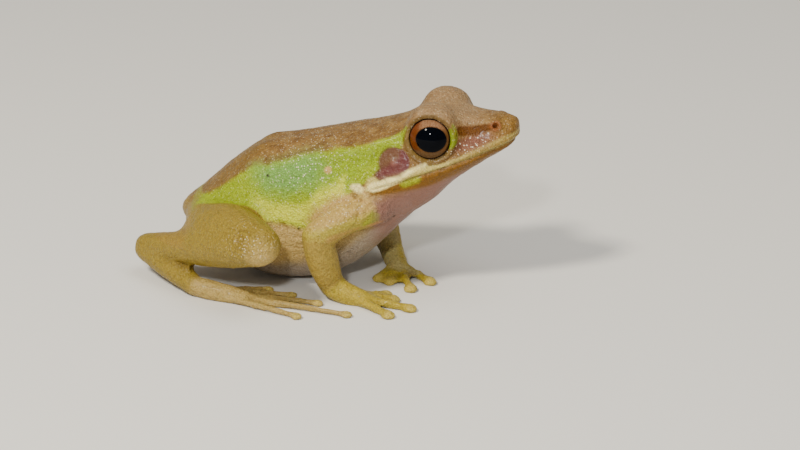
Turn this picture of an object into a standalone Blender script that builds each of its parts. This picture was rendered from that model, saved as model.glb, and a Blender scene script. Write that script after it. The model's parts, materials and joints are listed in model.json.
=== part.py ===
"""White-lipped frog, life size, sitting with its hands and feet flat on the floor and its head raised.

The head, throat and torso are one loft through vertical sections, parted by thin cuts. The limbs are
domed tubes that lie against the torso and are mitred at each joint. Hands and feet are fused from a
palm, digits with discs and, on the feet, webs. +X is forward, +Y is the frog's left, +Z is up.
"""

import math
from collections import namedtuple

import bmesh
import bpy
import numpy as np
from mathutils import Matrix, Vector

MM = 0.001

# Driving sizes
GAP = 0.3 * MM
EYE_RADIUS = 3.0 * MM
EYE_CENTRE = Vector((12.12, 4.02, 21.44)) * MM
EYELID_CENTRE = Vector((12.2, 3.7, 21.65)) * MM
EYELID_RADIUS = 3.95 * MM
EYELID_FLATNESS = 0.86
# Above the eye the lid rises as a brow that is narrower from front to back, higher and squarer than a ball
BROW_LENGTH = 0.84
BROW_HEIGHT = 1.015
BROW_SQUARENESS = 2.4
EYE_OPENING_RADIUS = 2.72 * MM
TYMPANUM_CENTRE = Vector((7.4, 6.45, 18.3)) * MM
TYMPANUM_RADIUS = 2.05 * MM
TYMPANUM_DEPTH = 0.75 * MM
NOSTRIL_CENTRE = Vector((20.0, 2.15, 22.75)) * MM
NOSTRIL_RADIUS = 0.36 * MM
JAW_CORNER = Vector((4.6, 0.0, 14.55)) * MM
MOUTH_SLOPE = math.radians(19.8)
NECK_TILT = math.radians(17.0)
THROAT_TILT = math.radians(47.0)
TRUNK_RINGS = 42
TRUNK_SIDES = 32

# One vertical section of the head and body: height of the back, half widths and heights of the
# dorsolateral fold or canthus, cheek or upper flank, lip or widest flank, lower flank and belly edge,
# and height of the belly, all in millimetres.
Section = namedtuple("Section", "x back fold side lip under keel belly")
SECTIONS = [
    Section(22.55, 22.2, (0.0, 22.2), (0.0, 22.2), (0.0, 22.2), (0.0, 22.2), (0.0, 22.2), 22.2),
    Section(22.25, 23.25, (0.8, 23.1), (1.15, 22.3), (1.2, 21.7), (0.95, 21.2), (0.5, 20.95), 20.9),
    Section(21.30, 23.62, (1.4, 23.38), (2.05, 22.2), (2.5, 21.1), (2.1, 20.3), (1.15, 19.9), 19.8),
    Section(19.60, 23.85, (1.95, 23.5), (2.7, 22.15), (3.65, 20.35), (3.2, 19.5), (1.85, 18.85), 18.65),
    Section(17.00, 24.05, (2.6, 23.55), (3.55, 21.65), (4.9, 19.2), (4.35, 18.0), (2.5, 17.1), 16.9),
    Section(14.60, 24.35, (3.3, 23.7), (4.5, 21.0), (5.8, 18.2), (5.25, 16.7), (3.2, 15.4), 15.05),
    Section(12.20, 24.60, (3.8, 23.6), (5.3, 20.6), (6.5, 17.4), (6.0, 15.5), (3.9, 13.1), 12.5),
    Section(9.60, 23.70, (4.4, 22.6), (6.0, 19.8), (7.0, 16.5), (6.5, 14.2), (4.3, 11.3), 10.4),
    Section(7.00, 22.40, (5.0, 21.4), (6.5, 18.6), (7.3, 15.6), (6.8, 12.7), (4.4, 9.1), 7.9),
    Section(4.00, 21.50, (5.6, 20.3), (6.9, 17.6), (7.4, 14.2), (7.2, 10.6), (4.9, 6.1), 4.6),
    Section(0.50, 20.60, (6.0, 19.3), (7.3, 16.4), (7.8, 12.6), (7.5, 8.4), (4.9, 3.2), 1.9),
    Section(-4.00, 19.50, (6.1, 18.1), (7.7, 15.2), (8.3, 11.2), (7.9, 6.8), (5.3, 1.7), 0.3),
    Section(-8.50, 18.50, (5.9, 17.0), (7.7, 14.0), (8.5, 10.2), (7.9, 5.8), (5.3, 1.1), -0.15),
    Section(-12.20, 17.30, (5.4, 15.6), (7.0, 12.9), (7.8, 9.4), (7.2, 5.6), (4.7, 1.7), 0.4),
    Section(-15.60, 14.70, (4.7, 13.2), (5.9, 11.0), (6.4, 8.4), (5.8, 5.7), (3.7, 3.0), 2.1),
    Section(-18.60, 11.90, (3.8, 10.9), (4.5, 9.4), (4.7, 7.7), (4.2, 5.9), (2.6, 4.3), 3.8),
    Section(-21.00, 9.80, (2.6, 9.3), (3.1, 8.5), (3.2, 7.5), (2.8, 6.5), (1.7, 5.6), 5.3),
    Section(-22.30, 8.60, (1.1, 8.4), (1.4, 8.0), (1.45, 7.5), (1.2, 7.0), (0.7, 6.6), 6.5),
    Section(-22.70, 7.5, (0.0, 7.5), (0.0, 7.5), (0.0, 7.5), (0.0, 7.5), (0.0, 7.5), 7.5),
]

# Each limb is a run of (point, radius) in millimetres from its root to its end. The two sides differ: the
# right arm reaches forward, the left is turned in under the throat, and the left foot is splayed.
ARMS = {
    "right": {
        "shoulder": (5.6, -5.7, 12.2),
        "elbow": (-1.0, -11.0, 9.1),
        "wrist": (0.3, -9.1, 2.0),
        "heading": -8.0,
    },
    "left": {
        "shoulder": (5.6, 5.7, 12.2),
        "elbow": (0.6, 10.0, 8.8),
        "wrist": (4.2, 5.7, 1.9),
        "heading": -60.0,
    },
}
UPPER_ARM_RADII = (2.45, 2.1, 2.05)
FOREARM_RADII = (2.0, 2.1, 1.65)
PALM_LENGTH = 4.4 * MM
# Angle of each finger from the hand's heading towards the thumb's side, and its length, in millimetres
FINGERS = [(46.0, 4.2), (25.0, 5.0), (2.0, 7.8), (-24.0, 6.6)]
FINGER_RADIUS = 0.68 * MM
FINGER_DISC = 0.96 * MM

LEGS = {
    "right": {
        "hip": (-18.0, -2.6, 7.6),
        "haunch": (-16.0, -7.6, 7.6),
        "thigh": (-12.2, -11.2, 8.8),
        "knee": (-6.9, -16.2, 9.3),
        "calf": (-12.6, -13.1, 7.5),
        "ankle": (-19.7, -9.3, 5.2),
        "heel": (-25.4, -6.2, 3.5),
        "tarsus": (-21.4, -9.3, 2.4),
        "midfoot": (-17.0, -12.3, 1.35),
        "ham": ((-17.4, -6.8, 6.9), (-15.2, -9.6, 7.5), (-12.2, -12.2, 8.3)),
        "heading": -5.5,
    },
    "left": {
        "hip": (-17.8, 2.8, 7.5),
        "haunch": (-15.3, 7.7, 7.6),
        "thigh": (-11.0, 10.9, 8.9),
        "knee": (-4.5, 15.0, 9.7),
        "calf": (-10.3, 13.2, 7.5),
        "ankle": (-17.2, 10.9, 4.9),
        "heel": (-22.6, 8.7, 3.1),
        "tarsus": (-21.0, 13.4, 2.2),
        "midfoot": (-19.0, 18.0, 1.35),
        "ham": ((-16.6, 6.8, 6.7), (-14.0, 9.7, 7.4), (-10.8, 12.0, 8.4)),
        "heading": 24.0,
    },
}
THIGH_RADII = (3.3, 3.4, 3.55, 2.7)
# The flesh behind the thigh that fills the fold above the shank
HAM_RADII = (2.9, 3.35, 3.3)
SHANK_RADII = (2.7, 2.8, 2.2, 2.0)
TARSUS_RADII = (1.95, 1.7, 1.35)
# Angle of each toe from the foot's heading towards the inner side, and its length, in millimetres
TOES = [(27.0, 10.0), (17.0, 13.0), (8.0, 16.8), (0.0, 21.5), (-10.0, 16.0)]
TOE_RADIUS = 0.5 * MM
TOE_DISC = 0.74 * MM
SOLE_LENGTH = 7.0 * MM
WEB_THICKNESS = 0.5 * MM
WEB_REACH = 0.66

TAN = (0.42, 0.30, 0.17)
OLIVE = (0.42, 0.36, 0.13)
CREAM = (0.72, 0.62, 0.50)
EAR_BROWN = (0.28, 0.13, 0.09)
EYE_BLACK = (0.01, 0.01, 0.015)


def clear_scene():
    for obj in list(bpy.data.objects):
        bpy.data.objects.remove(obj, do_unlink=True)


def new_collection(name):
    collection = bpy.data.collections.new(name)
    bpy.context.scene.collection.children.link(collection)
    return collection


def finish_material(name, colour, roughness, metallic=0.0):
    material = bpy.data.materials.new(name)
    material.use_nodes = True
    shader = material.node_tree.nodes["Principled BSDF"]
    shader.inputs["Base Color"].default_value = (*colour, 1.0)
    shader.inputs["Roughness"].default_value = roughness
    shader.inputs["Metallic"].default_value = metallic
    return material


def mesh_object(name, mesh, collection):
    obj = bpy.data.objects.new(name, mesh)
    collection.objects.link(obj)
    return obj


def remove(obj):
    bpy.data.objects.remove(obj, do_unlink=True)


def smooth_path(rows, steps):
    """Rows of numbers joined by a Catmull-Rom curve, with the given number of steps between rows."""
    rows = np.array(rows, float)
    before = 2 * rows[0] - rows[1]
    after = 2 * rows[-1] - rows[-2]
    rows = np.vstack([before, rows, after])
    made = [catmull_rom(rows[i : i + 4], k / steps) for i in range(len(rows) - 3) for k in range(steps)]
    return np.array(made + [rows[-2]])


def catmull_rom(four, t):
    a, b, c, d = four
    slope = (c - a) / 2
    end_slope = (d - b) / 2
    t2, t3 = t * t, t * t * t
    return (
        (2 * t3 - 3 * t2 + 1) * b
        + (t3 - 2 * t2 + t) * slope
        + (3 * t2 - 2 * t3) * c
        + (t3 - t2) * end_slope
    )


def section_outline(section):
    """The closed run of control points round a section, from the back, down the right side and up the left."""
    right = [(0.0, section.back), section.fold, section.side, section.lip, section.under, section.keel]
    right = [(-y, z) for y, z in right]
    left = [(-y, z) for y, z in right[1:]]
    return np.array(right + [(0.0, section.belly)] + left[::-1], float)


def ring_at(outline, sides):
    """Evenly spread points on the smooth closed curve through the control points."""
    count = len(outline)
    ring = []
    for k in range(sides):
        at = k * count / sides
        first = int(at)
        four = [outline[(first + j) % count] for j in (-1, 0, 1, 2)]
        ring.append(catmull_rom(four, at - first))
    return np.array(ring)


def trunk_rings():
    """Rings of points from the snout to the vent. Past each end the sections are mirrored, so it is domed."""
    stations = [np.append(section_outline(s).ravel(), s.x) for s in SECTIONS]
    lead = 2 * stations[0] - stations[1]
    trail = 2 * stations[-1] - stations[-2]
    lead[-1] = stations[1][-1]
    trail[-1] = stations[-2][-1]
    stations = [lead, *stations, trail]
    rings = []
    for k in range(1, TRUNK_RINGS):
        at = k * (len(SECTIONS) - 1) / TRUNK_RINGS
        first = int(at)
        station = catmull_rom(stations[first : first + 4], at - first)
        ring = ring_at(station[:-1].reshape(-1, 2), TRUNK_SIDES)
        rings.append([(station[-1], y, z) for y, z in ring])
    return rings


def eyelid_centre(side):
    return Vector((EYELID_CENTRE.x, side * EYELID_CENTRE.y, EYELID_CENTRE.z))


def bulge_over_eye(point, side):
    """Moves a point of the head outwards onto the flattened ball of the eyelid, with a soft edge."""
    softness = 0.35 * MM
    centre = eyelid_centre(side)
    offset = point - centre
    upper = min(max((offset.z / MM + 0.3) / 1.5, 0.0), 1.0)
    length = 1.0 + (BROW_LENGTH - 1.0) * upper
    height = 1.0 + (BROW_HEIGHT - 1.0) * upper
    power = 2.0 + (BROW_SQUARENESS - 2.0) * upper
    shares = (offset.x / length, offset.y / EYELID_FLATNESS, offset.z / height)
    distance = max(sum(abs(share) ** power for share in shares) ** (1.0 / power), 0.01 * MM)
    lift = (EYELID_RADIUS - distance) / softness
    raised = distance + softness * (math.log1p(math.exp(-abs(lift))) + max(lift, 0.0))
    if raised - distance < 0.001 * MM:
        return point
    return centre + offset * (raised / distance)


def make_trunk(name, collection):
    """Head, throat and torso in one closed loft."""
    bm = bmesh.new()
    rings = [[bm.verts.new(Vector(p) * MM) for p in ring] for ring in trunk_rings()]
    ends = [bm.verts.new(Vector((s.x, 0.0, s.back)) * MM) for s in (SECTIONS[0], SECTIONS[-1])]
    for near, far in zip(rings, rings[1:]):
        for k in range(TRUNK_SIDES):
            after = (k + 1) % TRUNK_SIDES
            bm.faces.new((near[k], near[after], far[after], far[k]))
    for k in range(TRUNK_SIDES):
        after = (k + 1) % TRUNK_SIDES
        bm.faces.new((ends[0], rings[0][after], rings[0][k]))
        bm.faces.new((ends[1], rings[-1][k], rings[-1][after]))
    for side in (-1.0, 1.0):
        near = {v for v in bm.verts if (v.co - eyelid_centre(side)).length < EYELID_RADIUS * 1.15}
        edges = [e for e in bm.edges if e.verts[0] in near and e.verts[1] in near]
        bmesh.ops.subdivide_edges(bm, edges=edges, cuts=1, use_grid_fill=True)
    for vert in bm.verts:
        if vert.co.x > 5.0 * MM:
            vert.co = bulge_over_eye(vert.co, -1.0 if vert.co.y < 0.0 else 1.0)
    bmesh.ops.triangulate(bm, faces=bm.faces)
    bmesh.ops.recalc_face_normals(bm, faces=bm.faces)
    mesh = bpy.data.meshes.new(name)
    bm.to_mesh(mesh)
    bm.free()
    return mesh_object(name, mesh, collection)


def curve_to_mesh(obj, collection):
    """A curve made a mesh, with its caps welded to its sides."""
    graph = bpy.context.evaluated_depsgraph_get()
    mesh = bpy.data.meshes.new_from_object(obj.evaluated_get(graph))
    bm = bmesh.new()
    bm.from_mesh(mesh)
    bmesh.ops.remove_doubles(bm, verts=bm.verts, dist=0.0005 * MM)
    bmesh.ops.recalc_face_normals(bm, faces=bm.faces)
    bm.to_mesh(mesh)
    bm.free()
    made = mesh_object(obj.name + "_mesh", mesh, collection)
    made.matrix_world = obj.matrix_world
    remove(obj)
    return made


def domed_tube(name, stations, collection, steps=4, resolution=4, dome_angles=(28.0, 54.0, 76.0)):
    """A closed round tube through (point in mm, radius in mm) stations, with a dome past each end."""
    rows = smooth_path([(*point, radius) for point, radius in stations], steps)
    spine, radii = rows[:, :3], rows[:, 3]
    dome = [(math.sin(math.radians(a)), math.cos(math.radians(a))) for a in dome_angles]
    start = (spine[0] - spine[1]) / np.linalg.norm(spine[0] - spine[1])
    end = (spine[-1] - spine[-2]) / np.linalg.norm(spine[-1] - spine[-2])
    before = [(spine[0] + start * radii[0] * s, radii[0] * c) for s, c in dome[::-1]]
    after = [(spine[-1] + end * radii[-1] * s, radii[-1] * c) for s, c in dome]
    points = before + list(zip(spine, radii)) + after
    curve = bpy.data.curves.new(name, "CURVE")
    curve.dimensions = "3D"
    curve.bevel_depth = 1.0 * MM
    curve.bevel_resolution = resolution
    curve.use_fill_caps = True
    spline = curve.splines.new("POLY")
    spline.points.add(len(points) - 1)
    for target, (place, radius) in zip(spline.points, points):
        target.co = (*(Vector(place) * MM), 1.0)
        target.radius = radius
    return curve_to_mesh(mesh_object(name, curve, collection), collection)


def ball(name, centre, radii, collection, segments=18, rings=11):
    bpy.ops.mesh.primitive_uv_sphere_add(segments=segments, ring_count=rings, radius=1.0, location=centre)
    obj = bpy.context.object
    obj.name = name
    move_to(obj, collection)
    obj.data.transform(Matrix.Diagonal((*radii, 1.0)))
    return obj


def box(name, low, high, collection):
    low, high = Vector(low), Vector(high)
    bpy.ops.mesh.primitive_cube_add(size=1.0, location=(low + high) / 2)
    obj = bpy.context.object
    obj.name = name
    move_to(obj, collection)
    obj.data.transform(Matrix.Diagonal((*(high - low), 1.0)))
    return obj


def move_to(obj, collection):
    for owner in list(obj.users_collection):
        owner.objects.unlink(obj)
    collection.objects.link(obj)


def bake_place(obj):
    """Puts the object's place into its mesh."""
    bpy.context.view_layer.update()
    obj.data.transform(obj.matrix_world)
    obj.matrix_world = Matrix.Identity(4)


def apply_boolean(obj, operation, cutter=None, collection=None, solver="EXACT"):
    modifier = obj.modifiers.new(operation.title(), "BOOLEAN")
    modifier.operation = operation
    modifier.solver = solver
    if collection is None:
        modifier.object = cutter
    else:
        modifier.operand_type = "COLLECTION"
        modifier.collection = collection
    bpy.context.view_layer.update()
    graph = bpy.context.evaluated_depsgraph_get()
    mesh = bpy.data.meshes.new_from_object(obj.evaluated_get(graph))
    obj.modifiers.clear()
    old = obj.data
    obj.data = mesh
    bpy.data.meshes.remove(old)


def carve(obj, cutter, solver="EXACT"):
    """Cuts the cutter's shape out of the object."""
    apply_boolean(obj, "DIFFERENCE", cutter, solver=solver)


def shells(obj):
    """The separate closed surfaces of an object, each as a list of its faces' indices."""
    bm = bmesh.new()
    bm.from_mesh(obj.data)
    bm.faces.ensure_lookup_table()
    left = set(bm.faces)
    found = []
    while left:
        shell, front = [], [left.pop()]
        while front:
            face = front.pop()
            shell.append(face.index)
            for edge in face.edges:
                for other in edge.link_faces:
                    if other in left:
                        left.discard(other)
                        front.append(other)
        found.append(shell)
    bm.free()
    return found


def keep_shell(obj, faces):
    """Keeps only these faces of the object."""
    kept = set(faces)
    bm = bmesh.new()
    bm.from_mesh(obj.data)
    bm.faces.ensure_lookup_table()
    bmesh.ops.delete(bm, geom=[f for f in bm.faces if f.index not in kept], context="FACES")
    bm.to_mesh(obj.data)
    bm.free()


def keep_largest(obj):
    keep_shell(obj, max(shells(obj), key=len))


def fuse(name, pieces, collection):
    """One closed body from pieces that overlap."""
    base, others = pieces[0], pieces[1:]
    joined = new_collection(name + "_pieces")
    for piece in others:
        move_to(piece, joined)
    apply_boolean(base, "UNION", collection=joined, solver="MANIFOLD")
    for piece in others:
        remove(piece)
    bpy.data.collections.remove(joined)
    base.name = name
    keep_largest(base)
    return base


def halve(obj, point, normal):
    """Keeps what lies on the normal's side of a plane, and closes the cut with one flat face."""
    bm = bmesh.new()
    bm.from_mesh(obj.data)
    cut = bmesh.ops.bisect_plane(
        bm,
        geom=bm.verts[:] + bm.edges[:] + bm.faces[:],
        plane_co=point,
        plane_no=normal,
        clear_inner=True,
        dist=0.0001 * MM,
    )
    rim = [e for e in cut["geom_cut"] if isinstance(e, bmesh.types.BMEdge) and e.is_boundary]
    bmesh.ops.edgeloop_fill(bm, edges=rim)
    bmesh.ops.recalc_face_normals(bm, faces=bm.faces)
    bm.to_mesh(obj.data)
    bm.free()


def joint_plane(joint, upper_far, lower_far):
    """The plane that halves the angle between two segments, as a point and the way to the upper one."""
    joint, upper_far, lower_far = (Vector(p) * MM for p in (joint, upper_far, lower_far))
    return joint, ((upper_far - joint).normalized() - (lower_far - joint).normalized()).normalized()


def mitre(upper, lower, joint, upper_far, lower_far):
    """Parts two segments at a joint by the plane that halves the angle between them."""
    point, normal = joint_plane(joint, upper_far, lower_far)
    halve(upper, point + normal * GAP / 2, normal)
    halve(lower, point - normal * GAP / 2, -normal)


def midway(first, second, shift=(0.0, 0.0, 0.0)):
    return tuple((np.array(first) + np.array(second)) / 2 + np.array(shift))


def part_trunk(trunk, collection, cutters):
    """Cuts the trunk into head, lower jaw and torso, along the mouth, the neck and the throat."""
    reach = 40.0 * MM
    slabs = {"mouth_cut": MOUTH_SLOPE, "neck_cut": math.pi / 2 + NECK_TILT, "throat_cut": -THROAT_TILT}
    for name, angle in slabs.items():
        slab = box(name, (-GAP, -reach, -GAP / 2), (reach, reach, GAP / 2), cutters)
        bake_place(slab)
        slab.data.transform(Matrix.Translation(JAW_CORNER) @ Matrix.Rotation(-angle, 4, "Y"))
        carve(trunk, slab)
    found = sorted(shells(trunk), key=len)[-3:]
    parts = {}
    for shell in found:
        piece = mesh_object("trunk_piece", trunk.data.copy(), collection)
        keep_shell(piece, shell)
        middle = sum((v.co for v in piece.data.vertices), Vector()) / len(piece.data.vertices)
        if middle.x < JAW_CORNER.x:
            parts["torso"] = piece
        elif middle.z > JAW_CORNER.z + (middle.x - JAW_CORNER.x) * math.tan(MOUTH_SLOPE):
            parts["head"] = piece
        else:
            parts["lower_jaw"] = piece
    for name, piece in parts.items():
        piece.name = name
    remove(trunk)
    return parts


def cut_eye_socket(head, side, cutters):
    centre = Vector((EYE_CENTRE.x, side * EYE_CENTRE.y, EYE_CENTRE.z))
    socket = ball("eye_socket", centre, [EYE_RADIUS + GAP] * 3, cutters, 20, 12)
    bake_place(socket)
    carve(head, socket)
    bpy.ops.mesh.primitive_cylinder_add(
        vertices=24, radius=EYE_OPENING_RADIUS, depth=2 * EYELID_RADIUS, location=(0.0, 0.0, 0.0)
    )
    opening = bpy.context.object
    move_to(opening, cutters)
    outward = Vector((0.1, side * 1.0, 0.12)).normalized()
    place = centre + outward * EYELID_RADIUS
    opening.data.transform(Matrix.Translation(place) @ outward.to_track_quat("Z", "Y").to_matrix().to_4x4())
    carve(head, opening)


def tympanum_frame(side):
    """The tympanum's place, with its Z axis straight out of the cheek."""
    centre = Vector((TYMPANUM_CENTRE.x, side * TYMPANUM_CENTRE.y, TYMPANUM_CENTRE.z))
    outward = Vector((-0.12, side * 0.93, 0.34)).normalized()
    return Matrix.Translation(centre) @ outward.to_track_quat("Z", "Y").to_matrix().to_4x4()


def cut_tympanum_recess(head, side, cutters):
    depth = 4.0 * MM
    bpy.ops.mesh.primitive_cylinder_add(
        vertices=24, radius=TYMPANUM_RADIUS + GAP, depth=depth, location=(0.0, 0.0, 0.0)
    )
    recess = bpy.context.object
    move_to(recess, cutters)
    lift = Matrix.Translation((0.0, 0.0, depth / 2 - TYMPANUM_DEPTH - GAP))
    recess.data.transform(tympanum_frame(side) @ lift)
    carve(head, recess)


def cut_nostril(head, side, cutters):
    centre = Vector((NOSTRIL_CENTRE.x, side * NOSTRIL_CENTRE.y, NOSTRIL_CENTRE.z))
    radii = (NOSTRIL_RADIUS * 1.3, NOSTRIL_RADIUS * 1.4, NOSTRIL_RADIUS)
    pit = ball("nostril", centre, radii, cutters, 12, 8)
    bake_place(pit)
    carve(head, pit)


def make_eye(name, side, collection):
    centre = Vector((EYE_CENTRE.x, side * EYE_CENTRE.y, EYE_CENTRE.z))
    eye = ball(name, centre, [EYE_RADIUS] * 3, collection)
    bake_place(eye)
    return eye


def make_tympanum(name, side, collection):
    """A turned disc, dished round a low centre."""
    profile = [(0.0, 0.22), (0.45, 0.18), (1.0, 0.02), (1.55, 0.06), (1.9, 0.02), (2.05, -0.12)]
    profile = [(r * MM, z * MM) for r, z in profile]
    profile += [(TYMPANUM_RADIUS, -TYMPANUM_DEPTH), (0.0, -TYMPANUM_DEPTH)]
    mesh = bpy.data.meshes.new(name)
    mesh.from_pydata([(r, 0.0, z) for r, z in profile], [(k, k + 1) for k in range(len(profile) - 1)], [])
    disc = mesh_object(name, mesh, collection)
    screw = disc.modifiers.new("Turn", "SCREW")
    screw.steps = screw.render_steps = 24
    screw.use_merge_vertices = True
    screw.merge_threshold = 0.01 * MM
    graph = bpy.context.evaluated_depsgraph_get()
    turned = bpy.data.meshes.new_from_object(disc.evaluated_get(graph))
    disc.modifiers.clear()
    disc.data = turned
    bm = bmesh.new()
    bm.from_mesh(turned)
    bmesh.ops.recalc_face_normals(bm, faces=bm.faces)
    bm.to_mesh(turned)
    bm.free()
    disc.data.transform(tympanum_frame(side))
    return disc


def digit(name, root, direction, length, radius, disc, rise, collection):
    """A finger or toe that lies along the floor, with swollen joints and a flat round disc at its tip."""
    root, along = Vector(root), Vector((math.cos(direction), math.sin(direction), 0.0))
    r = radius / MM
    steps = [(-0.9 * MM / length, rise, 1.15), (0.12, rise * 0.8 + 0.15, 1.05), (0.42, 0.62, 0.85)]
    steps += [(0.5, 0.6, 1.0), (0.66, 0.52, 0.8), (0.94, 0.42, 0.75)]
    stations = [(root / MM + along * (length / MM) * s + Vector((0, 0, z)), r * w) for s, z, w in steps]
    stations = [(tuple(p), w) for p, w in stations]
    finger = domed_tube(name, stations, collection, steps=1, resolution=1, dome_angles=())
    tip = root + along * (length - disc * 0.85) + Vector((0.0, 0.0, 0.36 * MM))
    pad = ball(name + "_disc", tip, (disc * 1.12, disc, disc * 0.62), collection, 10, 6)
    pad.rotation_euler.z = direction
    bake_place(pad)
    return [finger, pad]


def web(name, midfoot, first, second, collection):
    """A thin flat skin between two toes, each given as (direction, length), with a hollow front edge."""
    start = SOLE_LENGTH * 0.75
    ends = [midfoot + Vector((math.cos(d), math.sin(d), 0.0)) * n * WEB_REACH for d, n in (first, second)]
    starts = [midfoot + Vector((math.cos(d), math.sin(d), 0.0)) * start for d, _ in (first, second)]
    low = min(first[1], second[1]) * WEB_REACH * 0.92
    middle = (first[0] + second[0]) / 2
    hollow = midfoot + Vector((math.cos(middle), math.sin(middle), 0.0)) * low
    edge = smooth_path([tuple(p) for p in (ends[0], hollow, ends[1])], 3)
    outline = [starts[0], *(Vector(p) for p in edge), starts[1]]
    bm = bmesh.new()
    lower = [bm.verts.new((p.x, p.y, 0.08 * MM)) for p in outline]
    face = bm.faces.new(lower)
    grown = bmesh.ops.extrude_face_region(bm, geom=[face])
    raised = [v for v in grown["geom"] if isinstance(v, bmesh.types.BMVert)]
    bmesh.ops.translate(bm, verts=raised, vec=(0.0, 0.0, WEB_THICKNESS))
    bmesh.ops.triangulate(bm, faces=bm.faces)
    bmesh.ops.recalc_face_normals(bm, faces=bm.faces)
    mesh = bpy.data.meshes.new(name)
    bm.to_mesh(mesh)
    bm.free()
    return mesh_object(name, mesh, collection)


def flatten_underneath(obj, floor):
    carve(obj, floor, solver="MANIFOLD")
    keep_largest(obj)


def make_arm(side, collection, body_clearance, floor):
    """Upper arm, forearm and hand of one side."""
    arm = ARMS[side]
    inward = 1.0 if side == "right" else -1.0
    shoulder, elbow, wrist = arm["shoulder"], arm["elbow"], arm["wrist"]
    upper_points = [shoulder, midway(shoulder, elbow, (-0.2, -0.15 * inward, 0.4)), elbow]
    upper = domed_tube("upper", list(zip(upper_points, UPPER_ARM_RADII)), collection)
    fore_points = [elbow, midway(elbow, wrist, (-0.2, 0.0, 0.1)), wrist]
    fore = domed_tube("fore", list(zip(fore_points, FOREARM_RADII)), collection)
    heading = math.radians(arm["heading"])
    forward = Vector((math.cos(heading), math.sin(heading), 0.0))
    across = Vector((-math.sin(heading), math.cos(heading), 0.0)) * inward
    base = Vector((wrist[0], wrist[1], 0.0)) * MM
    knuckles = tuple((base + forward * PALM_LENGTH) / MM + Vector((0.0, 0.0, 0.75)))
    hollow = tuple((base + forward * PALM_LENGTH * 0.45) / MM + Vector((0.0, 0.0, 1.15)))
    palm = domed_tube("palm", [(wrist, 1.62), (hollow, 1.5), (knuckles, 1.2)], collection, steps=3)
    mitre(upper, fore, elbow, shoulder, wrist)
    mitre(fore, palm, wrist, elbow, knuckles)
    pieces = [palm]
    for number, (angle, length) in enumerate(FINGERS):
        direction = heading + inward * math.radians(angle)
        root = base + forward * PALM_LENGTH * 0.85 + across * angle * 0.018 * MM
        name = f"finger_{side}_{number}"
        pieces += digit(name, root, direction, length * MM, FINGER_RADIUS, FINGER_DISC, 0.75, collection)
    hand = fuse("hand_" + side, pieces, collection)
    flatten_underneath(hand, floor)
    for segment in (upper, fore):
        carve(segment, body_clearance)
        keep_largest(segment)
    upper.name = "upper_arm_" + side
    fore.name = "forearm_" + side
    return [upper, fore, hand]


def make_leg(side, collection, cutters, body_clearance, floor):
    """Thigh, shank, tarsus and webbed foot of one side."""
    leg = LEGS[side]
    inward = 1.0 if side == "right" else -1.0
    hip, knee, heel, midfoot = (leg[name] for name in ("hip", "knee", "heel", "midfoot"))
    thigh_points = [leg[name] for name in ("hip", "haunch", "thigh", "knee")]
    shank_points = [leg[name] for name in ("knee", "calf", "ankle", "heel")]
    tarsus_points = [leg[name] for name in ("heel", "tarsus", "midfoot")]
    thigh = domed_tube("thigh", list(zip(thigh_points, THIGH_RADII)), collection, steps=4, resolution=5)
    shank = domed_tube("shank", list(zip(shank_points, SHANK_RADII)), collection, resolution=5)
    tarsus = domed_tube("tarsus", list(zip(tarsus_points, TARSUS_RADII)), collection)
    heading = math.radians(leg["heading"])
    forward = Vector((math.cos(heading), math.sin(heading), 0.0))
    base = Vector((midfoot[0], midfoot[1], 0.0)) * MM
    sole_stations = [
        (midfoot, 1.3),
        (tuple((base + forward * SOLE_LENGTH * 0.5) / MM + Vector((0, 0, 0.85))), 1.35),
        (tuple((base + forward * SOLE_LENGTH) / MM + Vector((0, 0, 0.6))), 1.05),
    ]
    sole = domed_tube("sole", sole_stations, collection, steps=3)
    mitre(shank, tarsus, heel, knee, midfoot)
    point, normal = joint_plane(knee, hip, heel)
    halve(shank, point - normal * GAP / 2, -normal)
    # The folded shank presses into the thigh, whose flesh wraps round it
    ham = domed_tube("ham", list(zip(leg["ham"], HAM_RADII)), collection, resolution=5)
    thigh = fuse("thigh", [thigh, ham], collection)
    shank_clearance = grown_copy(shank, GAP * 0.9, cutters)
    carve(thigh, shank_clearance)
    mitre(tarsus, sole, midfoot, heel, sole_stations[-1][0])
    toes = [(heading + inward * math.radians(angle), length * MM) for angle, length in TOES]
    pieces = [sole]
    for number, (direction, length) in enumerate(toes):
        root = base + Vector((math.cos(direction), math.sin(direction), 0.0)) * SOLE_LENGTH * 0.35
        name = f"toe_{side}_{number}"
        reach = length - SOLE_LENGTH * 0.35
        pieces += digit(name, root, direction, reach, TOE_RADIUS, TOE_DISC, 0.7, collection)
    for number, (first, second) in enumerate(zip(toes, toes[1:])):
        pieces.append(web(f"web_{side}_{number}", base, first, second, collection))
    foot = fuse("foot_" + side, pieces, collection)
    flatten_underneath(foot, floor)
    for segment in (thigh, shank):
        carve(segment, body_clearance)
        keep_largest(segment)
    thigh.name = "thigh_" + side
    shank.name = "shank_" + side
    tarsus.name = "tarsus_" + side
    return [thigh, shank, tarsus, foot]


def grown_copy(obj, distance, collection):
    """A copy of a closed smooth body, grown outwards by a distance."""
    copy = mesh_object(obj.name + "_grown", obj.data.copy(), collection)
    normals = [v.normal.copy() for v in copy.data.vertices]
    for vert, normal in zip(copy.data.vertices, normals):
        vert.co += normal * distance
    return copy


def centre_on_floor(nodes):
    """Moves the whole frog so that its origin is at the middle of its box, on the floor."""
    corners = np.array([v.co for obj in nodes for v in obj.data.vertices])
    low, high = corners.min(axis=0), corners.max(axis=0)
    shift = Vector((-(low[0] + high[0]) / 2, -(low[1] + high[1]) / 2, -low[2]))
    for obj in nodes:
        obj.data.transform(Matrix.Translation(shift))


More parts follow.
